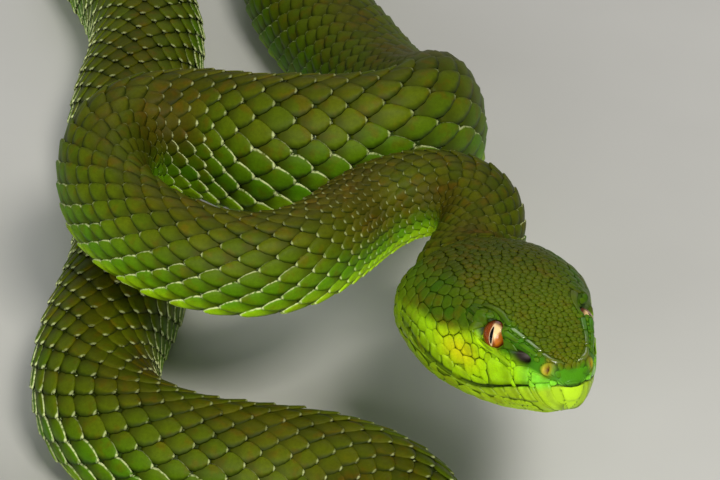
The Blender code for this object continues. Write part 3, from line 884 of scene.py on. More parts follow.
def front_plates(along, side, height):
    """1 on the two plates at the tip, above and below the mouth, and on those round the nostrils,
    which are one with the skin."""
    above = height - mouth_height(along)
    wide = np.interp(height, [-2.8, -1.4, 1.6, 2.2, 4.0], [0.0, 0.9, 2.0, 2.3, 1.6])
    within = smooth(-0.12, 0.12, wide - np.abs(side)) * (along < 3.0)
    nasal = np.hypot((along - NOSTRIL[0]) / 0.95, (height - NOSTRIL[1]) / 1.0)
    nasal = (1.0 - smooth(0.8, 1.0, nasal)) * (np.abs(side) > 1.6)
    rostral = within * smooth(0.08, 0.26, above) * (1.0 - smooth(3.7, 4.0, height))
    upper = np.maximum(rostral, nasal)
    return np.where(above > 0.0, upper, within * smooth(0.08, 0.26, -above))


def fine_features(along, side, height):
    """Millimetres to raise the skin of the head: tip plates, lip line, the groove along the middle
    of the chin, heat pits and nostrils."""
    shut = bell(height - mouth_height(along), 0.17) * (along < MOUTH_END)
    chin = bell(side, 0.20) * (height < mouth_height(along) - 1.0)
    chin *= smooth(3.0, 4.0, along) * (1.0 - smooth(14.0, 17.0, along))
    return (PLATE_RISE * front_plates(along, side, height) - LIP_DEPTH * shut - CHIN_DEPTH * chin
            - PIT_DEPTH * hole(PIT, along, side, height)
            - NOSTRIL_DEPTH * hole(NOSTRIL, along, side, height))


def shaded_features(colours, along, side, height):
    """The head's pigments with painted shade over the heat pits, a painted highlight on their
    membranes, and painted shade along the lip line, round the eyes' sockets and in the nostrils."""
    pit = hole(PIT, along, side, height)
    # Painted shade inside the heat pit.
    colours = blend(colours, PIT_SHADE_BROWN, np.clip(1.6 * pit, 0.0, 1.0))
    # A painted highlight on the pit's membrane.
    membrane_highlight = bell(along - PIT[0] - 0.2, 0.62) * bell(height - PIT[1] + 0.12, 0.42)
    colours = blend(colours, MEMBRANE_HIGHLIGHT_GREY, 0.85 * (membrane_highlight * (pit > 0.5)))
    shut = bell(height - mouth_height(along), 0.22) * (along < MOUTH_END)
    colours = blend(colours, LIP_SHADE, np.clip(1.2 * shut, 0.0, 1.0))
    socket = bell(eye_distance(along, side, height) - 2.25, 0.22) * (np.abs(side) > 3.0)
    colours = blend(colours, SOCKET_SHADE, 0.9 * socket)
    # Painted shade inside the nostril's opening.
    nostril = hole(NOSTRIL, along, side, height)
    return blend(colours, NOSTRIL_SHADE_BROWN, np.clip(1.3 * nostril, 0.0, 1.0))


def skin_grid(places, columns):
    """Points, pigments and skin numbers (darkness, flecks and a spare nought) of one part of the
    skin. It is dark between the scales of the body, partly its own tone and partly painted shade of
    the gaps, less so on the lips and the throat, and hardly at all on the rest of the head and at
    the tail's point, where it shows."""
    along, around = np.meshgrid(places, np.arange(columns) / columns, indexing="ij")
    points = surface(along, around, 0.0)
    colours = pigment(along, around)
    on_head = 1.0 - smooth(33.0, 40.0, along)
    side, height = (read_table(t, along, around) for t in (SIDES, HEIGHTS))
    if places[0] < 0.0:
        rise = fine_features(along, side, height)
        points += unit(read_table(NORMALS, along, around)) * rise[..., None]
        colours = shaded_features(colours, along, side, height)
    lips = 1.0 - smooth(18.0, 40.0, np.degrees(np.arctan2(height - mouth_height(along), 8.0)))
    bare = front_plates(along, side, height) * on_head
    seam = 4.0 * bare * (1.0 - bare)
    colours = blend(colours, SEAM_SHADE, 0.75 * seam)
    # The skin's darkness between scales and plates: partly its own tone, partly painted shade of
    # the gaps.
    dark = 0.80 - (0.62 - 0.40 * lips * smooth(3.0, 6.0, along)) * on_head
    dark *= 1.0 - 0.8 * smooth(TAIL_END - 5.0, TAIL_END - 1.0, along)
    facts = np.stack([dark * (1.0 - bare), 1.0 - on_head, 0.0 * along], -1)
    return points, colours, facts


def closed_rows(first, rows, columns):
    """Quads of rings that close on themselves, outwards, numbered from first."""
    i, j = np.meshgrid(np.arange(rows - 1), np.arange(columns), indexing="ij")
    here = first + i * columns + j
    beside = first + i * columns + (j + 1) % columns
    return np.stack([here, here + columns, beside + columns, beside], -1).reshape(-1, 4)


def halving(fine_first, columns, coarse_first):
    """Five-sided faces from a ring to one with half as many points."""
    j = np.arange(columns // 2)
    after = (j + 1) % (columns // 2)
    fine = fine_first + 2 * j
    return np.stack([fine, coarse_first + j, coarse_first + after,
                     fine_first + (2 * j + 2) % columns, fine + 1], -1)


def make_skin():
    """The whole sleeve: its grids, stitched, with a closed tip at each end."""
    points, colours, facts, faces, first, last = [], [], [], [], 0, None
    for places, columns in SKIN_PARTS:
        grid, paint, numbers = skin_grid(places, columns)
        points.append(grid.reshape(-1, 3))
        colours.append(paint.reshape(-1, 3))
        facts.append(numbers.reshape(-1, 3))
        faces += closed_rows(first, len(places), columns).tolist()
        if last is not None:
            faces += halving(last, columns * 2, first).tolist()
        last = first + (len(places) - 1) * columns
        first += len(places) * columns
    ring = np.arange(SKIN_PARTS[0][1])
    faces += np.stack([ring, np.roll(ring, -1), np.full_like(ring, first)], 1).tolist()
    tail = last + np.arange(SKIN_PARTS[-1][1])
    faces += np.stack([np.roll(tail, -1), tail, np.full_like(tail, first + 1)], 1).tolist()
    points = np.vstack(points)
    nose, tip = points[ring].mean(0), points[tail].mean(0)
    points = np.vstack([points, nose + 0.02 * FORWARD, tip])
    colours, facts = (np.vstack(c + [c[0][:1], c[-1][-1:]]) for c in (colours, facts))
    return make_piece("snake_skin", points, faces, colours, facts, [SKIN])


skin = make_skin()

# %% [markdown]
# ## Keeled scales of the back and flanks
#
# Twenty-one rows of leaf-shaped scales run along the body, each row set half a scale on from its
# neighbours, and each scale's free tip, pointing to the tail, lies over the roots of the next
# ones. One template serves all: seven places along the leaf and seven across it, a low ridge (the
# keel) in the middle and a dropped border, closed below by one face. Every copy is laid on the
# snake's surface by numpy in one go. Horn doesn't stretch, so a scale keeps its length: outside a
# bend the scales part, inside one they slide over each other. Where the front of the snake is
# drawn into a tight S, they crowd more than anywhere.

# %% Template of a leaf-shaped scale and where the scales sit
LEAF_ALONG = np.array([-0.62, -0.40, -0.15, 0.10, 0.32, 0.49, 0.54])
LEAF_ACROSS = np.array([-1.0, -0.86, -0.34, 0.0, 0.34, 0.86, 1.0])
LEAF_SPAN = 1.16        # from the root of the leaf to its tip
LEAF_WIDTH = 0.90       # share of the room that a row has for it
KEEL = 0.10             # millimetres above the leaf, at full coat depth
ROOT_LIFT = -0.3        # the root of a scale lies below the skin
CROWDING = 0.60         # how much closer the scales sit where they crowd most
BELLY_EDGE = 0.125      # the belly's scutes reach this far round to each side
BACK_ROWS = 21
# Distance behind the snout and spacing of the scales there.
PITCH = np.array(((36.0, 1.7), (48.0, 2.2), (66.0, 3.1), (95.0, 4.3), (140.0, 4.7), (560.0, 4.5),
                  (640.0, 3.6), (720.0, 2.5), (TAIL_END, 1.6)))


def closed_patch(rows, columns):
    """Top faces of a grid, outwards, and the one face below that closes it."""
    corner = (np.arange(rows - 1)[:, None] * columns + np.arange(columns - 1)).ravel()
    top = np.stack([corner, corner + columns, corner + columns + 1, corner + 1], 1)
    left = np.arange(rows) * columns
    end = (rows - 1) * columns + np.arange(columns)
    loop = np.concatenate([left, end[1:], (left + columns - 1)[::-1][1:],
                           np.arange(columns)[::-1][1:-1]])
    return [top], loop[::-1][None]


def scale_pitch(along):
    """Spacing of scales along the body: small on the neck, largest at mid body."""
    return np.interp(along, PITCH[:, 0], PITCH[:, 1])


def scale_roots(origin, start, stop, rows, edge):
    """Middle of every scale: rows evenly round the body, each half a spacing off the last, counted
    from an origin, of which the ones from start to stop are kept."""
    fine = np.arange(origin, stop + 10.0, 0.25)
    spacing = scale_pitch(fine) * (1.0 - CROWDING * crowded(fine))
    passed = np.concatenate([[0.0], np.cumsum(0.25 / spacing)])[:-1]
    row = np.arange(rows)
    whole = np.arange(int(passed[-1]))[:, None]
    along = np.interp(whole + 0.5 * (row % 2), passed, fine)
    around = np.broadcast_to(edge + (row + 0.5) / rows * (1.0 - 2.0 * edge), along.shape)
    kept = (along >= start) & (along < stop)
    return along[kept], around[kept]


def leaf_shape():
    """Places along and across, width and lift of the leaf's 49 points.
    The width is a power of a cosine on both sides of the widest place. The lift rises to the free
    tip, less a little with the square of the way across, plus the keel in the middle."""
    a, b = (grid.ravel() for grid in np.meshgrid(LEAF_ALONG, LEAF_ACROSS, indexing="ij"))
    narrowing = np.maximum(np.cos(math.pi * a / np.where(a < 0.0, 1.62, 1.12)), 0.0)
    width = narrowing ** np.where(a < 0.0, 0.70, 0.88)
    lift = 0.16 + 0.94 * (a - LEAF_ALONG[0]) / LEAF_SPAN - 0.16 * b * b
    lift += KEEL * np.clip(1.0 - np.abs(b) / 0.6, 0.0, 1.0) * smooth(-0.35, 0.05, a)
    border = (np.abs(b) == 1.0) | (a == LEAF_ALONG[-1])
    lift = np.where(a == LEAF_ALONG[0], ROOT_LIFT, lift - 0.34 * border)
    return a, b, width, lift


def leaf_scales(reach, rows, edge, finish, seed):
    """Rows of leaf scales over a reach (origin, start, stop), between the edges of the belly.
    Size and tilt vary a little from scale to scale."""
    chance = np.random.default_rng(seed)
    along, around = scale_roots(*reach, rows, edge)
    a, b, width, lift = leaf_shape()
    size = 1.0 + 0.05 * chance.standard_normal(len(along))
    tilt = 1.0 + 0.08 * chance.standard_normal(len(along))
    tint = chance.random(len(along))
    bend = np.clip(read_table(STRETCH, along, around), 0.6, 1.12)
    place = along[:, None] + a * (scale_pitch(along) * size / bend)[:, None]
    half = (1.0 - 2.0 * edge) / rows * LEAF_WIDTH * size
    turn = around[:, None] + b * width * half[:, None]
    leaf = np.stack(np.broadcast_arrays((a - LEAF_ALONG[0]) / LEAF_SPAN, b, tint[:, None]), -1)
    return laid_scales(along, around, place, turn, lift * tilt[:, None], leaf,
                       *closed_patch(len(LEAF_ALONG), len(LEAF_ACROSS)), finish)


# %% [markdown]
# ## Broad scutes under the belly
#
# A snake grips with a single row of broad plates under its belly, one for each joint of the
# spine. Under the tail they come in pairs. Each is a wide, thin bar whose free edge lies over the
# next one. They share their pieces with the leaf scales of the same stretch.

# %% Scutes, and the coat of the body and tail
SCUTE_ALONG = np.array([-0.55, -0.22, 0.12, 0.44, 0.52])
SCUTE_ACROSS = np.array([-1.0, -0.93, -0.7, -0.4, 0.0, 0.4, 0.7, 0.93, 1.0])
SCUTE_SPAN = 1.07
SCUTE_BOW = 0.16        # how far the free edge is drawn forward at its ends


def scute_scales(reach, edge, paired, seed):
    """Scutes over a reach: whole bars, or half bars left and right under the tail."""
    chance = np.random.default_rng(seed)
    along = scale_roots(*reach, 1 + paired, 0.5)[0]
    middle = np.where(np.arange(len(along)) % 2 == 0, 0.5, -0.5) * paired
    half = 0.52 if paired else 1.04
    a, b = (grid.ravel() for grid in np.meshgrid(SCUTE_ALONG, SCUTE_ACROSS, indexing="ij"))
    border = (np.abs(b) == 1.0) | (a == SCUTE_ALONG[-1])
    lift = 0.14 + 0.78 * (a - SCUTE_ALONG[0]) / SCUTE_SPAN - 0.30 * border
    lift = np.where(a == SCUTE_ALONG[0], ROOT_LIFT, lift)
    bow = a - SCUTE_BOW * b * b * smooth(0.0, 0.5, a)
    place = along[:, None] + bow * scale_pitch(along)[:, None]
    turn = edge * (middle[:, None] + b * half)
    tint = chance.random(len(along))
    leaf = np.stack(np.broadcast_arrays((a - SCUTE_ALONG[0]) / SCUTE_SPAN, b, tint[:, None]), -1)
    return laid_scales(along, edge * middle, place, turn, lift, leaf,
                       *closed_patch(len(SCUTE_ALONG), len(SCUTE_ACROSS)), BELLY_HORN)


NECK, MIDDLE, VENT, END = 36.6, 330.0, 634.0, TAIL_END - 0.8
# Start, stop, rows of scales and edge of the belly for each stretch of the tail.
TAIL_STRETCHES = ((VENT - 2.5, 696.0, 15, 0.14), (694.4, 738.0, 9, 0.15), (736.8, END, 7, 0.15))

body_coat_front = make_coat("body_coat_front", [
    leaf_scales((NECK, NECK, MIDDLE), BACK_ROWS, BELLY_EDGE, BACK_HORN, 11),
    scute_scales((NECK, NECK, MIDDLE), BELLY_EDGE, 0, 21)])
body_coat_rear = make_coat("body_coat_rear", [
    leaf_scales((NECK, MIDDLE, VENT), BACK_ROWS, BELLY_EDGE, BACK_HORN, 12),
    scute_scales((NECK, MIDDLE, VENT), BELLY_EDGE, 0, 22)])
tail_leaves = [leaf_scales((start, start, stop), rows, edge, TAIL_HORN, 13 + i)
               for i, (start, stop, rows, edge) in enumerate(TAIL_STRETCHES)]
tail_scutes = scute_scales((VENT - 2.0, VENT - 2.0, END), 0.145, 1, 23)
tail_coat = make_coat("tail_coat", tail_leaves + [tail_scutes])

# %% [markdown]
# ## Plates of the lips and brow
#
# Along both lips, over the eye and on the ridge of the snout the scales are large smooth plates
# that meet edge to edge. Each is listed by its lower and its upper edge, front to back. A place on
# an edge is its distance behind the snout and its bearing: degrees round the head, 0 at the side,
# 90 at the crown, -90 at the chin. An edge marked `LIP` follows the line of the mouth.

# %% Listed plates of one side of the face
LIP = None
PLATES = (
    # upper lip, from the snout back to the corner of the mouth
    (((0.75, LIP), (3.55, LIP)), ((1.0, 40.0), (3.5, 32.0))),
    (((3.65, LIP), (6.4, LIP)), ((3.8, 35.5), (5.1, 28.5), (6.2, 22.5))),
    (((6.5, LIP), (11.7, LIP)), ((6.4, 14.5), (8.0, 16.6), (9.4, 17.8), (11.0, 11.5))),
    (((11.85, LIP), (15.2, LIP)), ((11.8, -14.4), (14.8, -14.0))),
    (((15.3, LIP), (17.7, LIP)), ((14.9, -12.5), (17.6, -9.5))),
    (((17.8, LIP), (20.0, LIP)), ((17.7, -8.0), (20.1, -4.0))),
    (((20.1, LIP), (22.0, LIP)), ((20.3, -3.2), (22.3, 0.6))),
    (((22.1, LIP), (24.2, LIP)), ((22.5, 1.2), (24.5, 3.7))),
    (((24.3, LIP), (26.4, LIP)), ((24.7, 4.0), (26.9, 5.7))),
    (((26.5, LIP), (28.5, LIP)), ((27.0, 5.8), (28.9, 6.4))),
    (((28.6, LIP), (30.4, LIP)), ((29.0, 6.4), (30.7, 5.8))),
    # lower lip
    (((0.9, -62.0), (3.2, -84.0)), ((0.30, LIP), (1.20, LIP))),
    (((3.3, -78.0), (3.8, -33.0)), ((1.30, LIP), (2.85, LIP))),
    (((3.9, -32.5), (6.0, -31.0)), ((2.95, LIP), (5.10, LIP))),
    (((6.1, -31.0), (8.9, -34.0)), ((5.2, LIP), (8.1, LIP))),
    (((9.0, -34.0), (11.2, -36.0)), ((8.2, LIP), (10.4, LIP))),
    (((11.3, -36.0), (14.0, -36.0)), ((10.5, LIP), (13.0, LIP))),
    (((14.1, -36.0), (16.9, -33.5)), ((13.1, LIP), (15.8, LIP))),
    (((17.0, -33.0), (19.8, -26.0)), ((15.9, LIP), (18.6, LIP))),
    (((19.9, -25.5), (22.5, -19.0)), ((18.7, LIP), (21.2, LIP))),
    (((22.6, -18.5), (25.2, -13.5)), ((21.3, LIP), (23.9, LIP))),
    (((25.3, -13.0), (28.0, -10.5)), ((24.0, LIP), (26.8, LIP))),
    (((28.1, -10.3), (31.0, -9.8)), ((26.9, LIP), (29.9, LIP))),
    # chin shields, meeting at the middle
    (((3.5, -89.0), (6.0, -89.0), (8.4, -89.0)), ((3.5, -66.0), (5.4, -62.0), (7.7, -66.0))),
    (((8.6, -89.0), (12.6, -89.0)), ((8.2, -67.0), (11.4, -69.0))),
    # ridge of the snout and brow
    (((0.85, 64.0), (1.7, 59.0), (3.1, 56.0)), ((0.85, 85.0), (1.8, 68.0), (3.3, 62.0))),
    (((3.2, 56.0), (6.4, 51.8)), ((3.4, 62.0), (6.4, 58.0))),
    (((6.5, 51.7), (9.2, 48.8)), ((6.5, 57.9), (9.4, 55.0))),
    (((9.3, 49.0), (12.0, 51.0), (13.7, 49.0), (15.6, 44.5)),
     ((9.5, 54.5), (12.4, 57.0), (14.4, 55.5), (16.4, 51.0))),
    # between the eye, the heat pit and the nostril
    (((2.8, 49.0), (5.5, 44.3)), ((3.2, 55.2), (6.3, 51.0))),
    (((5.8, 44.8), (8.9, 40.5)), ((6.5, 50.9), (9.2, 48.0))),
    (((7.0, 36.8), (8.0, 31.8), (9.5, 28.3)), ((6.1, 44.0), (7.5, 41.8), (8.9, 39.8))),
    # crescent below the eye, and the small plates behind it
    (((6.5, 15.3), (8.2, 17.4), (9.8, 18.6), (11.8, 16.5), (13.8, 19.5), (15.0, 28.5)),
     ((6.6, 22.8), (7.9, 25.2), (9.6, 25.3), (11.8, 22.0), (13.5, 25.3), (14.2, 31.0))),
    (((14.7, 31.5), (16.5, 30.5)), ((14.4, 37.3), (16.3, 37.3))),
    (((14.5, 38.0), (16.4, 38.0)), ((14.9, 43.6), (16.6, 43.6))),
)
POLISHED = slice(25, 28)    # the plates of the snout's ridge
RIDGE_PLATES = PLATES[POLISHED]
FACE_PLATES = PLATES[:POLISHED.start] + PLATES[POLISHED.stop:]
PLATE_ALONG = np.array([-1.0, -0.94, -0.72, -0.30, 0.10, 0.50, 0.80, 0.94, 1.0])
PLATE_ACROSS = np.array([-1.0, -0.90, -0.55, 0.0, 0.55, 0.90, 1.0])
PLATE_TOP, PLATE_DOME, PLATE_BORDER = 1.02, 0.30, -0.25
PLATE_CORNER = 0.05     # how far the corners are rounded
SEAM = 0.09             # millimetres from a plate's edge to the middle of the seam
LIP_SEAM = 0.16

BEARINGS = np.linspace(-90.0, 90.0, 181)
HEAD_ROWS = ALONG < HEAD_BACK
HALF = AROUND // 2 + 1


def half_table(wanted, measure):
    """For each row of the head, the way round at which a measure of its left half is reached."""
    return np.array([np.interp(w, row, ROUND[:HALF]) for w, row in zip(wanted, measure)])


ROUND_OF_BEARING = half_table(
    np.broadcast_to(BEARINGS, (HEAD_ROWS.sum(), len(BEARINGS))),
    np.degrees(np.arctan2(HEIGHTS[HEAD_ROWS, :HALF], np.maximum(SIDES[HEAD_ROWS, :HALF], 1e-9))))
ROUND_OF_LIP = half_table(mouth_height(ALONG[HEAD_ROWS])[:, None], HEIGHTS[HEAD_ROWS, :HALF])[:, 0]


def way_round(behind, bearing):
    """The way round the head, from 0 to a half, of places given by their bearing."""
    row = np.interp(behind, ALONG[HEAD_ROWS], np.arange(HEAD_ROWS.sum()))
    column = np.interp(bearing, BEARINGS, np.arange(len(BEARINGS)))
    i, j = row.astype(int), np.clip(column.astype(int), 0, len(BEARINGS) - 2)
    i = np.clip(i, 0, HEAD_ROWS.sum() - 2)
    down, across = row - i, column - j
    read = lambda r: (ROUND_OF_BEARING[r, j] * (1 - across) + ROUND_OF_BEARING[r, j + 1] * across)
    return read(i) * (1 - down) + read(i + 1) * down


def edge_line(places, share, upper):
    """Points along one edge of a plate at shares of its length, as along and way round."""
    knots = np.linspace(0.0, 1.0, len(places))
    behind = np.array([p[0] for p in places])
    if len(places) > 2:
        along = cubic_through(knots, behind[:, None], share)[:, 0]
    else:
        along = np.interp(share, knots, behind)
    if places[0][1] is LIP:
        around = np.interp(along, ALONG[HEAD_ROWS], ROUND_OF_LIP)
        seam = LIP_SEAM * (1.0 + 0.5 * smooth(9.0, 13.0, along))
        return along, around + (-seam if upper else seam) / girth_at(along)
    marks = way_round(behind, np.array([p[1] for p in places]))
    if len(places) > 2:
        return along, cubic_through(knots, marks[:, None], share)[:, 0]
    return along, np.interp(share, knots, marks)


def plate_grid(lower, upper):
    """Along and way round for a plate's points: straight lines from its lower edge to its upper
    one, drawn in by the seam, with slightly rounded corners."""
    a, b = np.meshgrid(PLATE_ALONG, PLATE_ACROSS, indexing="ij")
    a, b = a * (1.0 - PLATE_CORNER * b**4), b * (1.0 - PLATE_CORNER * a**4)
    long = max(abs(lower[-1][0] - lower[0][0]), abs(upper[-1][0] - upper[0][0]), 1.0)
    share = 0.5 + 0.5 * a * (1.0 - 2.0 * SEAM / long)
    low_along, low_round = (v.reshape(a.shape) for v in edge_line(lower, share.ravel(), False))
    top_along, top_round = (v.reshape(a.shape) for v in edge_line(upper, share.ravel(), True))
    tall = np.abs(top_round - low_round).mean() * girth_at(lower[0][0])
    rise = 0.5 + 0.5 * b * (1.0 - 2.0 * SEAM / tall)
    between = lambda low, top: low * (1.0 - rise) + top * rise
    return between(low_along, top_along), between(low_round, top_round)


def plate_scales(plates, finish, seed):
    """Plates of both sides: a gentle dome with a rounded border that dips below the skin."""
    chance = np.random.default_rng(seed)
    a, b = np.meshgrid(PLATE_ALONG, PLATE_ACROSS, indexing="ij")
    size = np.maximum(np.abs(a), np.abs(b))
    lift = np.where(size == 1.0, PLATE_BORDER, PLATE_TOP - PLATE_DOME * size**5)
    grids = [plate_grid(lower, upper) for lower, upper in plates]
    place = np.array([g[0] for g in grids] * 2)
    left = np.array([g[1] for g in grids])
    turn = np.concatenate([left, 1.0 - left[:, :, ::-1]])
    leaf = np.stack(np.broadcast_arrays(0.5 + 0.5 * a, b, chance.random((len(place), 1, 1))), -1)
    flat = lambda grid: grid.reshape(len(place), -1, *grid.shape[3:])
    return laid_scales(flat(place).mean(1), flat(turn).mean(1), flat(place), flat(turn),
                       lift.ravel(), flat(leaf), *closed_patch(*a.shape), finish)


face_plates = plate_scales(FACE_PLATES, PLATE_HORN, 31)
ridge_plates = plate_scales(RIDGE_PLATES, RIDGE_HORN, 32)
print("plates on face and ridge:", len(face_plates["points"]), len(ridge_plates["points"]))

# %% [markdown]
# ## Grains of the crown, cheeks and throat
#
# A pit viper's crown has no large shields. It is covered with hundreds of grains, a millimetre
# across on the snout and twice that on the cheeks. They crowd each other like bubbles, so each is
# the area nearer to its own middle than to any other: a Voronoi cell. The middles are scattered
# with the right spacing and then moved a few times to the middle of their own area.
#
# The cell needs no cutting. Towards any direction e, the border with a neighbour at offset d lies
# at |d|^2 / (2 d.e), and the nearest of these over all neighbours is the cell's edge.

# %% Scattering the grains and working out their cells
GRAIN_WAYS = 14         # points round each ring of a grain
GRAIN_RINGS = np.array([1.0, 0.84, 0.48])
GRAIN_LIFT = np.array([0.36, 0.80, 0.97])
GRAIN_TOP = 1.05
GRAINS_END = 36.8       # millimetres behind the snout
GRAIN_TRIES = 30000     # places tried for the middles
LEAST_GAP = 0.80        # share of the wanted spacing that two middles keep at first
EASING_STEPS = 5        # moves to the middle of the own area
NEAREST = 18            # neighbours that may border a grain
GRAIN_REACH = 0.70      # the most of the spacing that a grain reaches from its middle
GRAIN_OVERLAP = 0.02    # millimetres
ALONG_STEP, ROUND_STEP = 0.1, 0.001
# Distance behind the snout and spacing of the grains there, on the crown and on the cheek.
CROWN_GAPS = np.array(((0.0, 0.72), (10.0, 0.84), (20.0, 0.95), (30.0, 1.15), (38.0, 1.45)))
CHEEK_GAPS = np.array(((0.0, 0.8), (8.0, 1.2), (12.0, 2.1), (22.0, 2.3), (30.0, 2.1), (38.0, 1.7)))
# Behind, bearing, half length and half height in degrees of the eye's opening, pit and nostril.
BARE = ((11.6, 36.0, 2.1, 14.0), (5.0, 36.0, 3.2, 11.0), (1.6, 47.0, 1.2, 12.0))


def grain_spacing(along, around):
    """Millimetres between grains: about one on the snout, over two on the cheeks and throat."""
    side, height = (read_table(t, along, around) for t in (SIDES, HEIGHTS))
    bearing = np.degrees(np.arctan2(height, np.abs(side) + 1e-9))
    crown = np.interp(along, CROWN_GAPS[:, 0], CROWN_GAPS[:, 1])
    cheek = np.interp(along, CHEEK_GAPS[:, 0], CHEEK_GAPS[:, 1])
    share = smooth(36.0, 60.0, bearing + 0.25 * (30.0 - along))
    return cheek * (1.0 - share) + crown * share


def inside(ring_along, ring_round, along, around):
    """Whether places lie inside a closed outline: a ray crosses it an odd number of times."""
    next_along, next_round = np.roll(ring_along, -1), np.roll(ring_round, -1)
    beyond = (ring_round > around[:, None]) != (next_round > around[:, None])
    slope = (next_along - ring_along) / np.where(next_round == ring_round, 1e-9,
                                                 next_round - ring_round)
    crossing = ring_along + (around[:, None] - ring_round) * slope
    return (beyond & (along[:, None] < crossing)).sum(1) % 2 == 1


def outlines():
    """Closed outlines, on the left half, of all that the grains leave bare: the plates, the eye's
    opening, the heat pit and the nostril."""
    rings = []
    for lower, upper in PLATES:
        along, around = plate_grid(lower, upper)
        rings.append((np.concatenate([along[:, 0], along[-1, 1:], along[::-1, -1][1:],
                                      along[0, ::-1][1:-1]]),
                      np.concatenate([around[:, 0], around[-1, 1:], around[::-1, -1][1:],
                                      around[0, ::-1][1:-1]])))
    angle = np.linspace(0.0, 2.0 * math.pi, 24, endpoint=False)
    for behind, bearing, long, tall in BARE:
        ring = behind + long * np.cos(angle)
        rings.append((ring, way_round(ring, bearing + tall * np.sin(angle))))
    return rings


def mirror_places(rings):
    """Places just inside every outline, on both sides, that stop a neighbouring grain at it."""
    place, turn = [], []
    for along, around in rings:
        share = np.linspace(0.0, len(along), 3 * len(along), endpoint=False)
        wrap = lambda v: np.interp(share, np.arange(len(v) + 1), np.append(v, v[0]))
        edge_along, edge_round = wrap(along), wrap(around)
        to_middle = np.hypot(edge_along - along.mean(),
                             (edge_round - around.mean()) * girth_at(along.mean()))
        inset = 0.46 * grain_spacing(edge_along, edge_round)
        pull = np.clip(inset / np.maximum(to_middle, 1e-6), 0.0, 0.75)
        place.append(edge_along + (along.mean() - edge_along) * pull)
        turn.append(edge_round + (around.mean() - edge_round) * pull)
    place, turn = np.concatenate(place), np.concatenate(turn)
    return np.concatenate([place, place]), np.concatenate([turn, 1.0 - turn])


def scatter_grains(seed):
    """Middles of the grains, and the places round which they crowd."""
    chance = np.random.default_rng(seed)
    along = chance.uniform(0.25, GRAINS_END, GRAIN_TRIES)
    along = along[chance.random(GRAIN_TRIES) < girth_at(along) / girth_at(30.0)]
    around = chance.random(len(along))
    rings = outlines()
    covered = sum(inside(*ring, along, np.minimum(around, 1.0 - around)) for ring in rings) > 0
    side, height = (read_table(t, along, around) for t in (SIDES, HEIGHTS))
    covered |= front_plates(along, side, height) > 0.05
    covered |= (np.abs(height - mouth_height(along)) < 0.3) & (along < MOUTH_END)
    covered |= (height < mouth_height(along)) & (along < 4.5)
    along, around = along[~covered], around[~covered]
    tries = surface(along, around, 1.0)
    gap = grain_spacing(along, around)
    taken, chosen = np.zeros((len(along), 3)), []
    for i in range(len(along)):
        near = np.sum((taken[:len(chosen)] - tries[i]) ** 2, 1)
        if not len(near) or near.min() > (LEAST_GAP * gap[i]) ** 2:
            taken[len(chosen)] = tries[i]
            chosen.append(i)
    grain_along, grain_round = along[chosen], around[chosen]
    for _ in range(EASING_STEPS):
        middles = surface(grain_along, grain_round, 1.0)
        far = np.sum(middles**2, 1) - 2.0 * tries @ middles.T
        own = far.argmin(1)
        count = np.maximum(np.bincount(own, minlength=len(middles)), 1)
        step = np.mod(around - grain_round[own] + 0.5, 1.0) - 0.5
        grain_round = grain_round + np.bincount(own, step, len(middles)) / count
        grain_along = grain_along + np.bincount(own, along - grain_along[own], len(middles)) / count
    return grain_along, np.mod(grain_round, 1.0), surface(*mirror_places(rings), 1.0)


def cell_reach(middle, others, first, second, gap, angle):
    """How far each grain reaches at each angle: to the nearest border, by the rule above, or to a
    share of the spacing if no border is near."""
    far = np.linalg.norm(middle[:, None] - others[None], axis=-1)
    near = np.argsort(far, axis=1)[:, 1:NEAREST + 1]
    offset = others[near] - middle[:, None]
    x = np.sum(offset * first[:, None], -1)
    y = np.sum(offset * second[:, None], -1)
    toward = x[..., None] * np.cos(angle) + y[..., None] * np.sin(angle)
    border = np.where(toward > 1e-6, (x * x + y * y)[..., None] / (2.0 * np.maximum(toward, 1e-6)),
                      np.inf).min(1)
    return np.minimum(border, GRAIN_REACH * gap[:, None]) + GRAIN_OVERLAP


def grain_faces(outward):
    """Sides, cap and underside of a grain, turned round if its axes make it face inward."""
    k = np.arange(GRAIN_WAYS)
    after = (k + 1) % GRAIN_WAYS
    last = (len(GRAIN_RINGS) - 1) * GRAIN_WAYS
    sides = np.vstack([np.stack([start + k, start + after, start + GRAIN_WAYS + after,
                                 start + GRAIN_WAYS + k], 1)
                       for start in range(0, last, GRAIN_WAYS)])
    caps = np.stack([last + k, last + after, np.full_like(k, last + GRAIN_WAYS)], 1)
    if not outward:
        sides, caps, k = sides[:, ::-1], caps[:, ::-1], k[::-1]
    return [sides, caps], k[::-1][None]


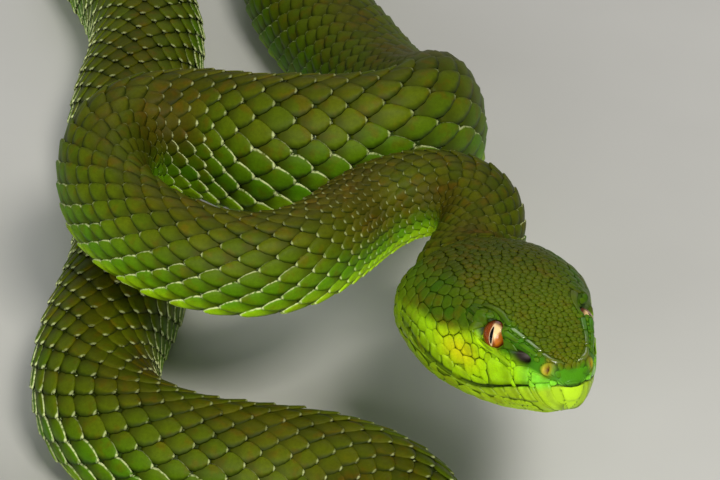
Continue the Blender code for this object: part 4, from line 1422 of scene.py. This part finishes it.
def grain_scales(finish, seed):
    """One closed, domed grain for every cell, a little higher at its tail end."""
    along, around, clear = scatter_grains(seed)
    chance = np.random.default_rng(seed + 1)
    middle = surface(along, around, 1.0)
    onward = surface(along + ALONG_STEP, around, 1.0) - middle
    round_ = surface(along, around + ROUND_STEP, 1.0) - middle
    first = unit(onward)
    out = unit(read_table(NORMALS, along, around))
    second = unit(np.cross(out, first))
    second *= np.sign(np.sum(second * round_, -1, keepdims=True))
    angle = np.arange(GRAIN_WAYS) * 2.0 * math.pi / GRAIN_WAYS
    reach = cell_reach(middle, np.vstack([middle, clear]), first, second,
                       grain_spacing(along, around), angle)
    ring = np.append((GRAIN_RINGS[:, None] * np.ones(GRAIN_WAYS)).ravel(), 0.0)
    tail_end = 0.08 * np.cos(angle) * (GRAIN_RINGS < 1.0)[:, None]
    lift = np.append((GRAIN_LIFT[:, None] + tail_end).ravel(), GRAIN_TOP)
    ways = np.append(np.tile(angle, len(GRAIN_RINGS)), 0.0)
    reach = np.hstack([np.tile(reach, len(GRAIN_RINGS)), np.zeros((len(along), 1))])
    flat_x, flat_y = reach * ring * np.cos(ways), reach * ring * np.sin(ways)
    # Back from the flat of each grain to along and way round, by the two ways' own lengths.
    lean = np.sum(round_ * first, -1, keepdims=True) / ROUND_STEP
    turn = flat_y / (np.sum(round_ * second, -1, keepdims=True) / ROUND_STEP)
    length = np.linalg.norm(onward, axis=-1, keepdims=True) / ALONG_STEP
    place = (flat_x - lean * turn) / length
    tint = chance.random((len(along), 1))
    leaf = np.stack(np.broadcast_arrays(0.5 + 0.5 * ring * np.cos(ways), ring * np.sin(ways),
                                        tint), -1)
    facing = np.sum(np.cross(first, second) * out, -1)
    lift = lift * (1.0 + 0.06 * chance.standard_normal((len(along), 1)))
    return laid_scales(along, around, along[:, None] + place, around[:, None] + turn, lift, leaf,
                       *grain_faces(np.median(facing) >= 0.0), finish)


grains = grain_scales(GRAIN_HORN, 41)
print(len(grains["points"]), "grains on the head")
head_coat = make_coat("head_coat", [face_plates, ridge_plates, grains])

# %% [markdown]
# ## The eyes
#
# A snake has no lids. A clear scale, the spectacle, covers the eye and is shed with the skin. The
# ball is turned about its own axis: rings of points from the front of the eye to its back, with a
# slight bulge of the clear cover in front. Each point also keeps its place seen from the front of
# the eye, in millimetres, and the colours of iris and slit pupil are worked out from that.

# %% Eye balls with a slit pupil
GAZE = np.array((-0.60, 0.74, 0.30))    # where the pupil looks: behind, side, height
CLEAR_BULGE = 0.035                     # share of the radius
SLIT_HALF_WIDTH, SLIT_HALF_HEIGHT = 0.24, 1.20
IRIS_EDGE = 1.86                        # millimetres from the middle of the pupil
IRIS_DARK, IRIS_LIGHT = linear("#5c2404"), linear("#a45012")
IRIS_HIGHLIGHT_GOLD, IRIS_LIT_FRONT = linear("#ffdc98"), linear("#c87014")
IRIS_RIM, PUPIL_RIM = linear("#5a2608"), linear("#e8c898")
SOCKET_SHADOW_BLACK, PUPIL_BLACK = linear("#0c0804"), linear("#060404")


def distance_node(tree, x, y):
    """Square root of the sum of two squares."""
    squares = [number(tree, "MULTIPLY", value, value) for value in (x, y)]
    return number(tree, "SQRT", number(tree, "ADD", *squares))


def eye_material():
    """Copper iris with fine spokes, a pale ring round a black upright slit, under clear horn."""
    finish, tree, shader = new_finish("copper_iris_under_clear_spectacle", 0.20, 0.6)
    shader.inputs["Coat Roughness"].default_value = 0.03
    leaf = add(tree, "ShaderNodeAttribute", attribute_name="leaf").outputs["Vector"]
    parts = add(tree, "ShaderNodeSeparateXYZ", {0: leaf})
    across, up = parts.outputs[0], parts.outputs[1]
    far = distance_node(tree, across, up)
    angle = number(tree, "ARCTAN2", up, across)
    spoke = add(tree, "ShaderNodeCombineXYZ",
                {0: number(tree, "MULTIPLY", angle, 9.0), 1: number(tree, "MULTIPLY", far, 1.1)})
    rays = add(tree, "ShaderNodeTexNoise", {"Vector": spoke.outputs[0], "Scale": 2.0,
                                            "Detail": 4.0}).outputs["Fac"]
    colour = mixed(tree, ramp(tree, rays, 0.32, 0.70), opaque(IRIS_DARK), opaque(IRIS_LIGHT))
    # The front half is paler, a painted highlight, and turns from gold to copper away from the
    # slit.
    front = ramp(tree, number(tree, "MULTIPLY_ADD", up, 0.30, across), 0.0, 0.5)
    away = ramp(tree, number(tree, "MULTIPLY_ADD", up, -0.45, across), 0.45, 1.05)
    light = mixed(tree, away, opaque(IRIS_HIGHLIGHT_GOLD), opaque(IRIS_LIT_FRONT))
    colour = mixed(tree, number(tree, "MULTIPLY", front, 0.85), colour, light)
    colour = mixed(tree, ramp(tree, far, 1.30, 1.80), colour, opaque(IRIS_RIM))
    # Painted shadow where the ball goes under the socket.
    colour = mixed(tree, ramp(tree, far, IRIS_EDGE, 1.98), colour, opaque(SOCKET_SHADOW_BLACK))
    slit = distance_node(tree, number(tree, "DIVIDE", across, SLIT_HALF_WIDTH),
                         number(tree, "DIVIDE", up, SLIT_HALF_HEIGHT))
    colour = mixed(tree, ramp(tree, slit, 1.42, 1.18), colour, opaque(PUPIL_RIM))
    colour = mixed(tree, ramp(tree, slit, 1.08, 0.94), colour, opaque(PUPIL_BLACK))
    tree.links.new(colour, shader.inputs["Base Color"])
    return finish


EYE_FINISH = eye_material()


def make_eye(name, side):
    """A ball of rings about the eye's axis, which bulges a little in front."""
    polar = np.concatenate([np.linspace(0.04, 1.5, 26), np.linspace(1.6, 3.1, 12)])
    around = np.linspace(0.0, 2.0 * math.pi, 56, endpoint=False)
    p, r = np.meshgrid(polar, around, indexing="ij")
    axis = unit(GAZE) * (1.0, side, 1.0)
    up = unit(np.array([0.0, 0.0, 1.0]) - axis[2] * axis)
    across = np.cross(up, axis) * side
    reach = EYE_RADIUS * (1.0 + CLEAR_BULGE * bell(p, 0.75))
    flat = np.stack([np.sin(p) * np.cos(r), np.sin(p) * np.sin(r), np.cos(p)], -1)
    flat = flat * reach[..., None]
    local = (flat[..., :1] * across + flat[..., 1:2] * up + flat[..., 2:] * axis).reshape(-1, 3)
    middle = np.array(EYE_PLACE) * (1.0, side, 1.0)
    poles = np.stack([axis, -axis]) * EYE_RADIUS * np.array([[1.0 + CLEAR_BULGE], [1.0]])
    local = np.vstack([local, poles]) + middle
    points = head_place(*local.T) + SHIFT
    leaf = np.vstack([flat.reshape(-1, 3), [[0.0, 0.0, EYE_RADIUS], [0.0, 0.0, -EYE_RADIUS]]])
    faces = closed_rows(0, len(polar), len(around)).tolist()
    ring, last = np.arange(len(around)), (len(polar) - 1) * len(around) + np.arange(len(around))
    faces += np.stack([ring, np.roll(ring, -1), np.full_like(ring, len(leaf) - 2)], 1).tolist()
    faces += np.stack([np.roll(last, -1), last, np.full_like(last, len(leaf) - 1)], 1).tolist()
    centre = points[:-2].mean(0)
    corner = points[np.array(faces[:1])[0]]
    if np.dot(np.cross(corner[1] - corner[0], corner[2] - corner[0]), corner[0] - centre) < 0.0:
        faces = [face[::-1] for face in faces]
    return make_piece(name, points, faces, np.tile(linear("#c8742c"), (len(points), 1)), leaf,
                      [EYE_FINISH])


eyes = {name: make_eye("ball_" + name, side)
        for name, side in (("eye_left", 1.0), ("eye_right", -1.0))}

# %% [markdown]
# ## Floor, light and camera
#
# The stage is a plain pale floor under three soft lamps: a key from the front right, which gives
# the snout's ridge its shine, a low one in front that lights the lips and the lime flank, and a
# faint one from above and behind that picks out the scales along the back. A little light from all
# around fills the rest. The camera looks down at the head with a long lens.

# %% Stage
TARGET = np.array([0.0, 0.0, 0.0]) + SHIFT
CAMERA_DISTANCE = 486.0
CAMERA_HEIGHT = 35.0        # degrees above the floor
LENS, SENSOR, NEAR_CLIP = 145.0, 36.0, 0.01
FLOOR_REACH, FLOOR_DEPTH = 3.0, 0.0002
FLOOR_DARK, FLOOR_LIGHT = linear("#c9c8c4"), linear("#d3d2ce")
ROOM_COLOUR, ROOM_STRENGTH = (0.9, 0.92, 0.95, 1.0), 0.20
# Name, place in metres, width in metres, watts and colour of each lamp.
LAMPS = (
    ("key_lamp", (0.24, -0.47, 0.70), 0.22, 3.9, (1.0, 0.97, 0.90)),
    ("low_lamp", (-0.14, -0.62, 0.22), 0.35, 2.5, (0.97, 0.98, 1.0)),
    ("top_lamp", (0.05, 0.45, 0.65), 0.40, 0.9, (1.0, 1.0, 0.97)),
)


def make_floor():
    """A broad pale sheet, finely mottled."""
    finish, tree, shader = new_finish("pale_matt_paint", 0.75, 0.0)
    colour = mixed(tree, cloudy(tree, 40.0), opaque(FLOOR_DARK), opaque(FLOOR_LIGHT))
    tree.links.new(colour, shader.inputs["Base Color"])
    mesh = bpy.data.meshes.new("pale_floor")
    corners = [(x * FLOOR_REACH, y * FLOOR_REACH, -FLOOR_DEPTH)
               for x, y in ((-1, -1), (1, -1), (1, 1), (-1, 1))]
    mesh.from_pydata(corners, [], [(0, 1, 2, 3)])
    mesh.materials.append(finish)
    floor = bpy.data.objects.new("pale_floor", mesh)
    bpy.context.scene.collection.objects.link(floor)
    return floor


def aim(thing, place, target):
    """Put a lamp or the camera at a place, looking at a target, both in metres."""
    back = unit(np.asarray(place, float) - target)
    right = unit(np.cross([0.0, 0.0, 1.0], back))
    up = np.cross(back, right)
    turned = [[right[i], up[i], back[i], place[i]] for i in range(3)]
    thing.matrix_world = Matrix(turned + [[0.0, 0.0, 0.0, 1.0]])


def make_lamp(name, place, size, watts, colour):
    """A square soft lamp that faces the snake."""
    light = bpy.data.lights.new(name, "AREA")
    light.size, light.energy, light.color = size, watts, colour
    lamp = bpy.data.objects.new(name, light)
    bpy.context.scene.collection.objects.link(lamp)
    aim(lamp, place, TARGET * MM)


def make_camera():
    """A long lens in front of the snake, looking along +Y and down."""
    rise = math.radians(CAMERA_HEIGHT)
    lens = bpy.data.cameras.new("camera")
    lens.lens, lens.sensor_width, lens.clip_start = LENS, SENSOR, NEAR_CLIP
    camera = bpy.data.objects.new("camera", lens)
    bpy.context.scene.collection.objects.link(camera)
    place = TARGET + CAMERA_DISTANCE * np.array([0.0, -math.cos(rise), math.sin(rise)])
    aim(camera, place * MM, TARGET * MM)
    bpy.context.scene.camera = camera


floor = make_floor()
for lamp in LAMPS:
    make_lamp(*lamp)
world = bpy.data.worlds.new("soft_room")
world.use_nodes = True
world.node_tree.nodes["Background"].inputs["Color"].default_value = ROOM_COLOUR
world.node_tree.nodes["Background"].inputs["Strength"].default_value = ROOM_STRENGTH
bpy.context.scene.world = world
bpy.context.scene.view_settings.view_transform = "Standard"
make_camera()

# %% [markdown]
# ## The pieces on one body
#
# The skin stands for all the solid lengths of flesh, and each eye for its solid ball. Nothing on
# the model moves, so every piece rides on the one body.

# %% Bodies and replaced nodes
flesh = [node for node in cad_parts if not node.startswith("eye")]
for piece in (skin, body_coat_front, body_coat_rear, tail_coat, head_coat, *eyes.values()):
    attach(piece, "root")
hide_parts(*flesh)
for node, ball in eyes.items():
    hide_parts(node)
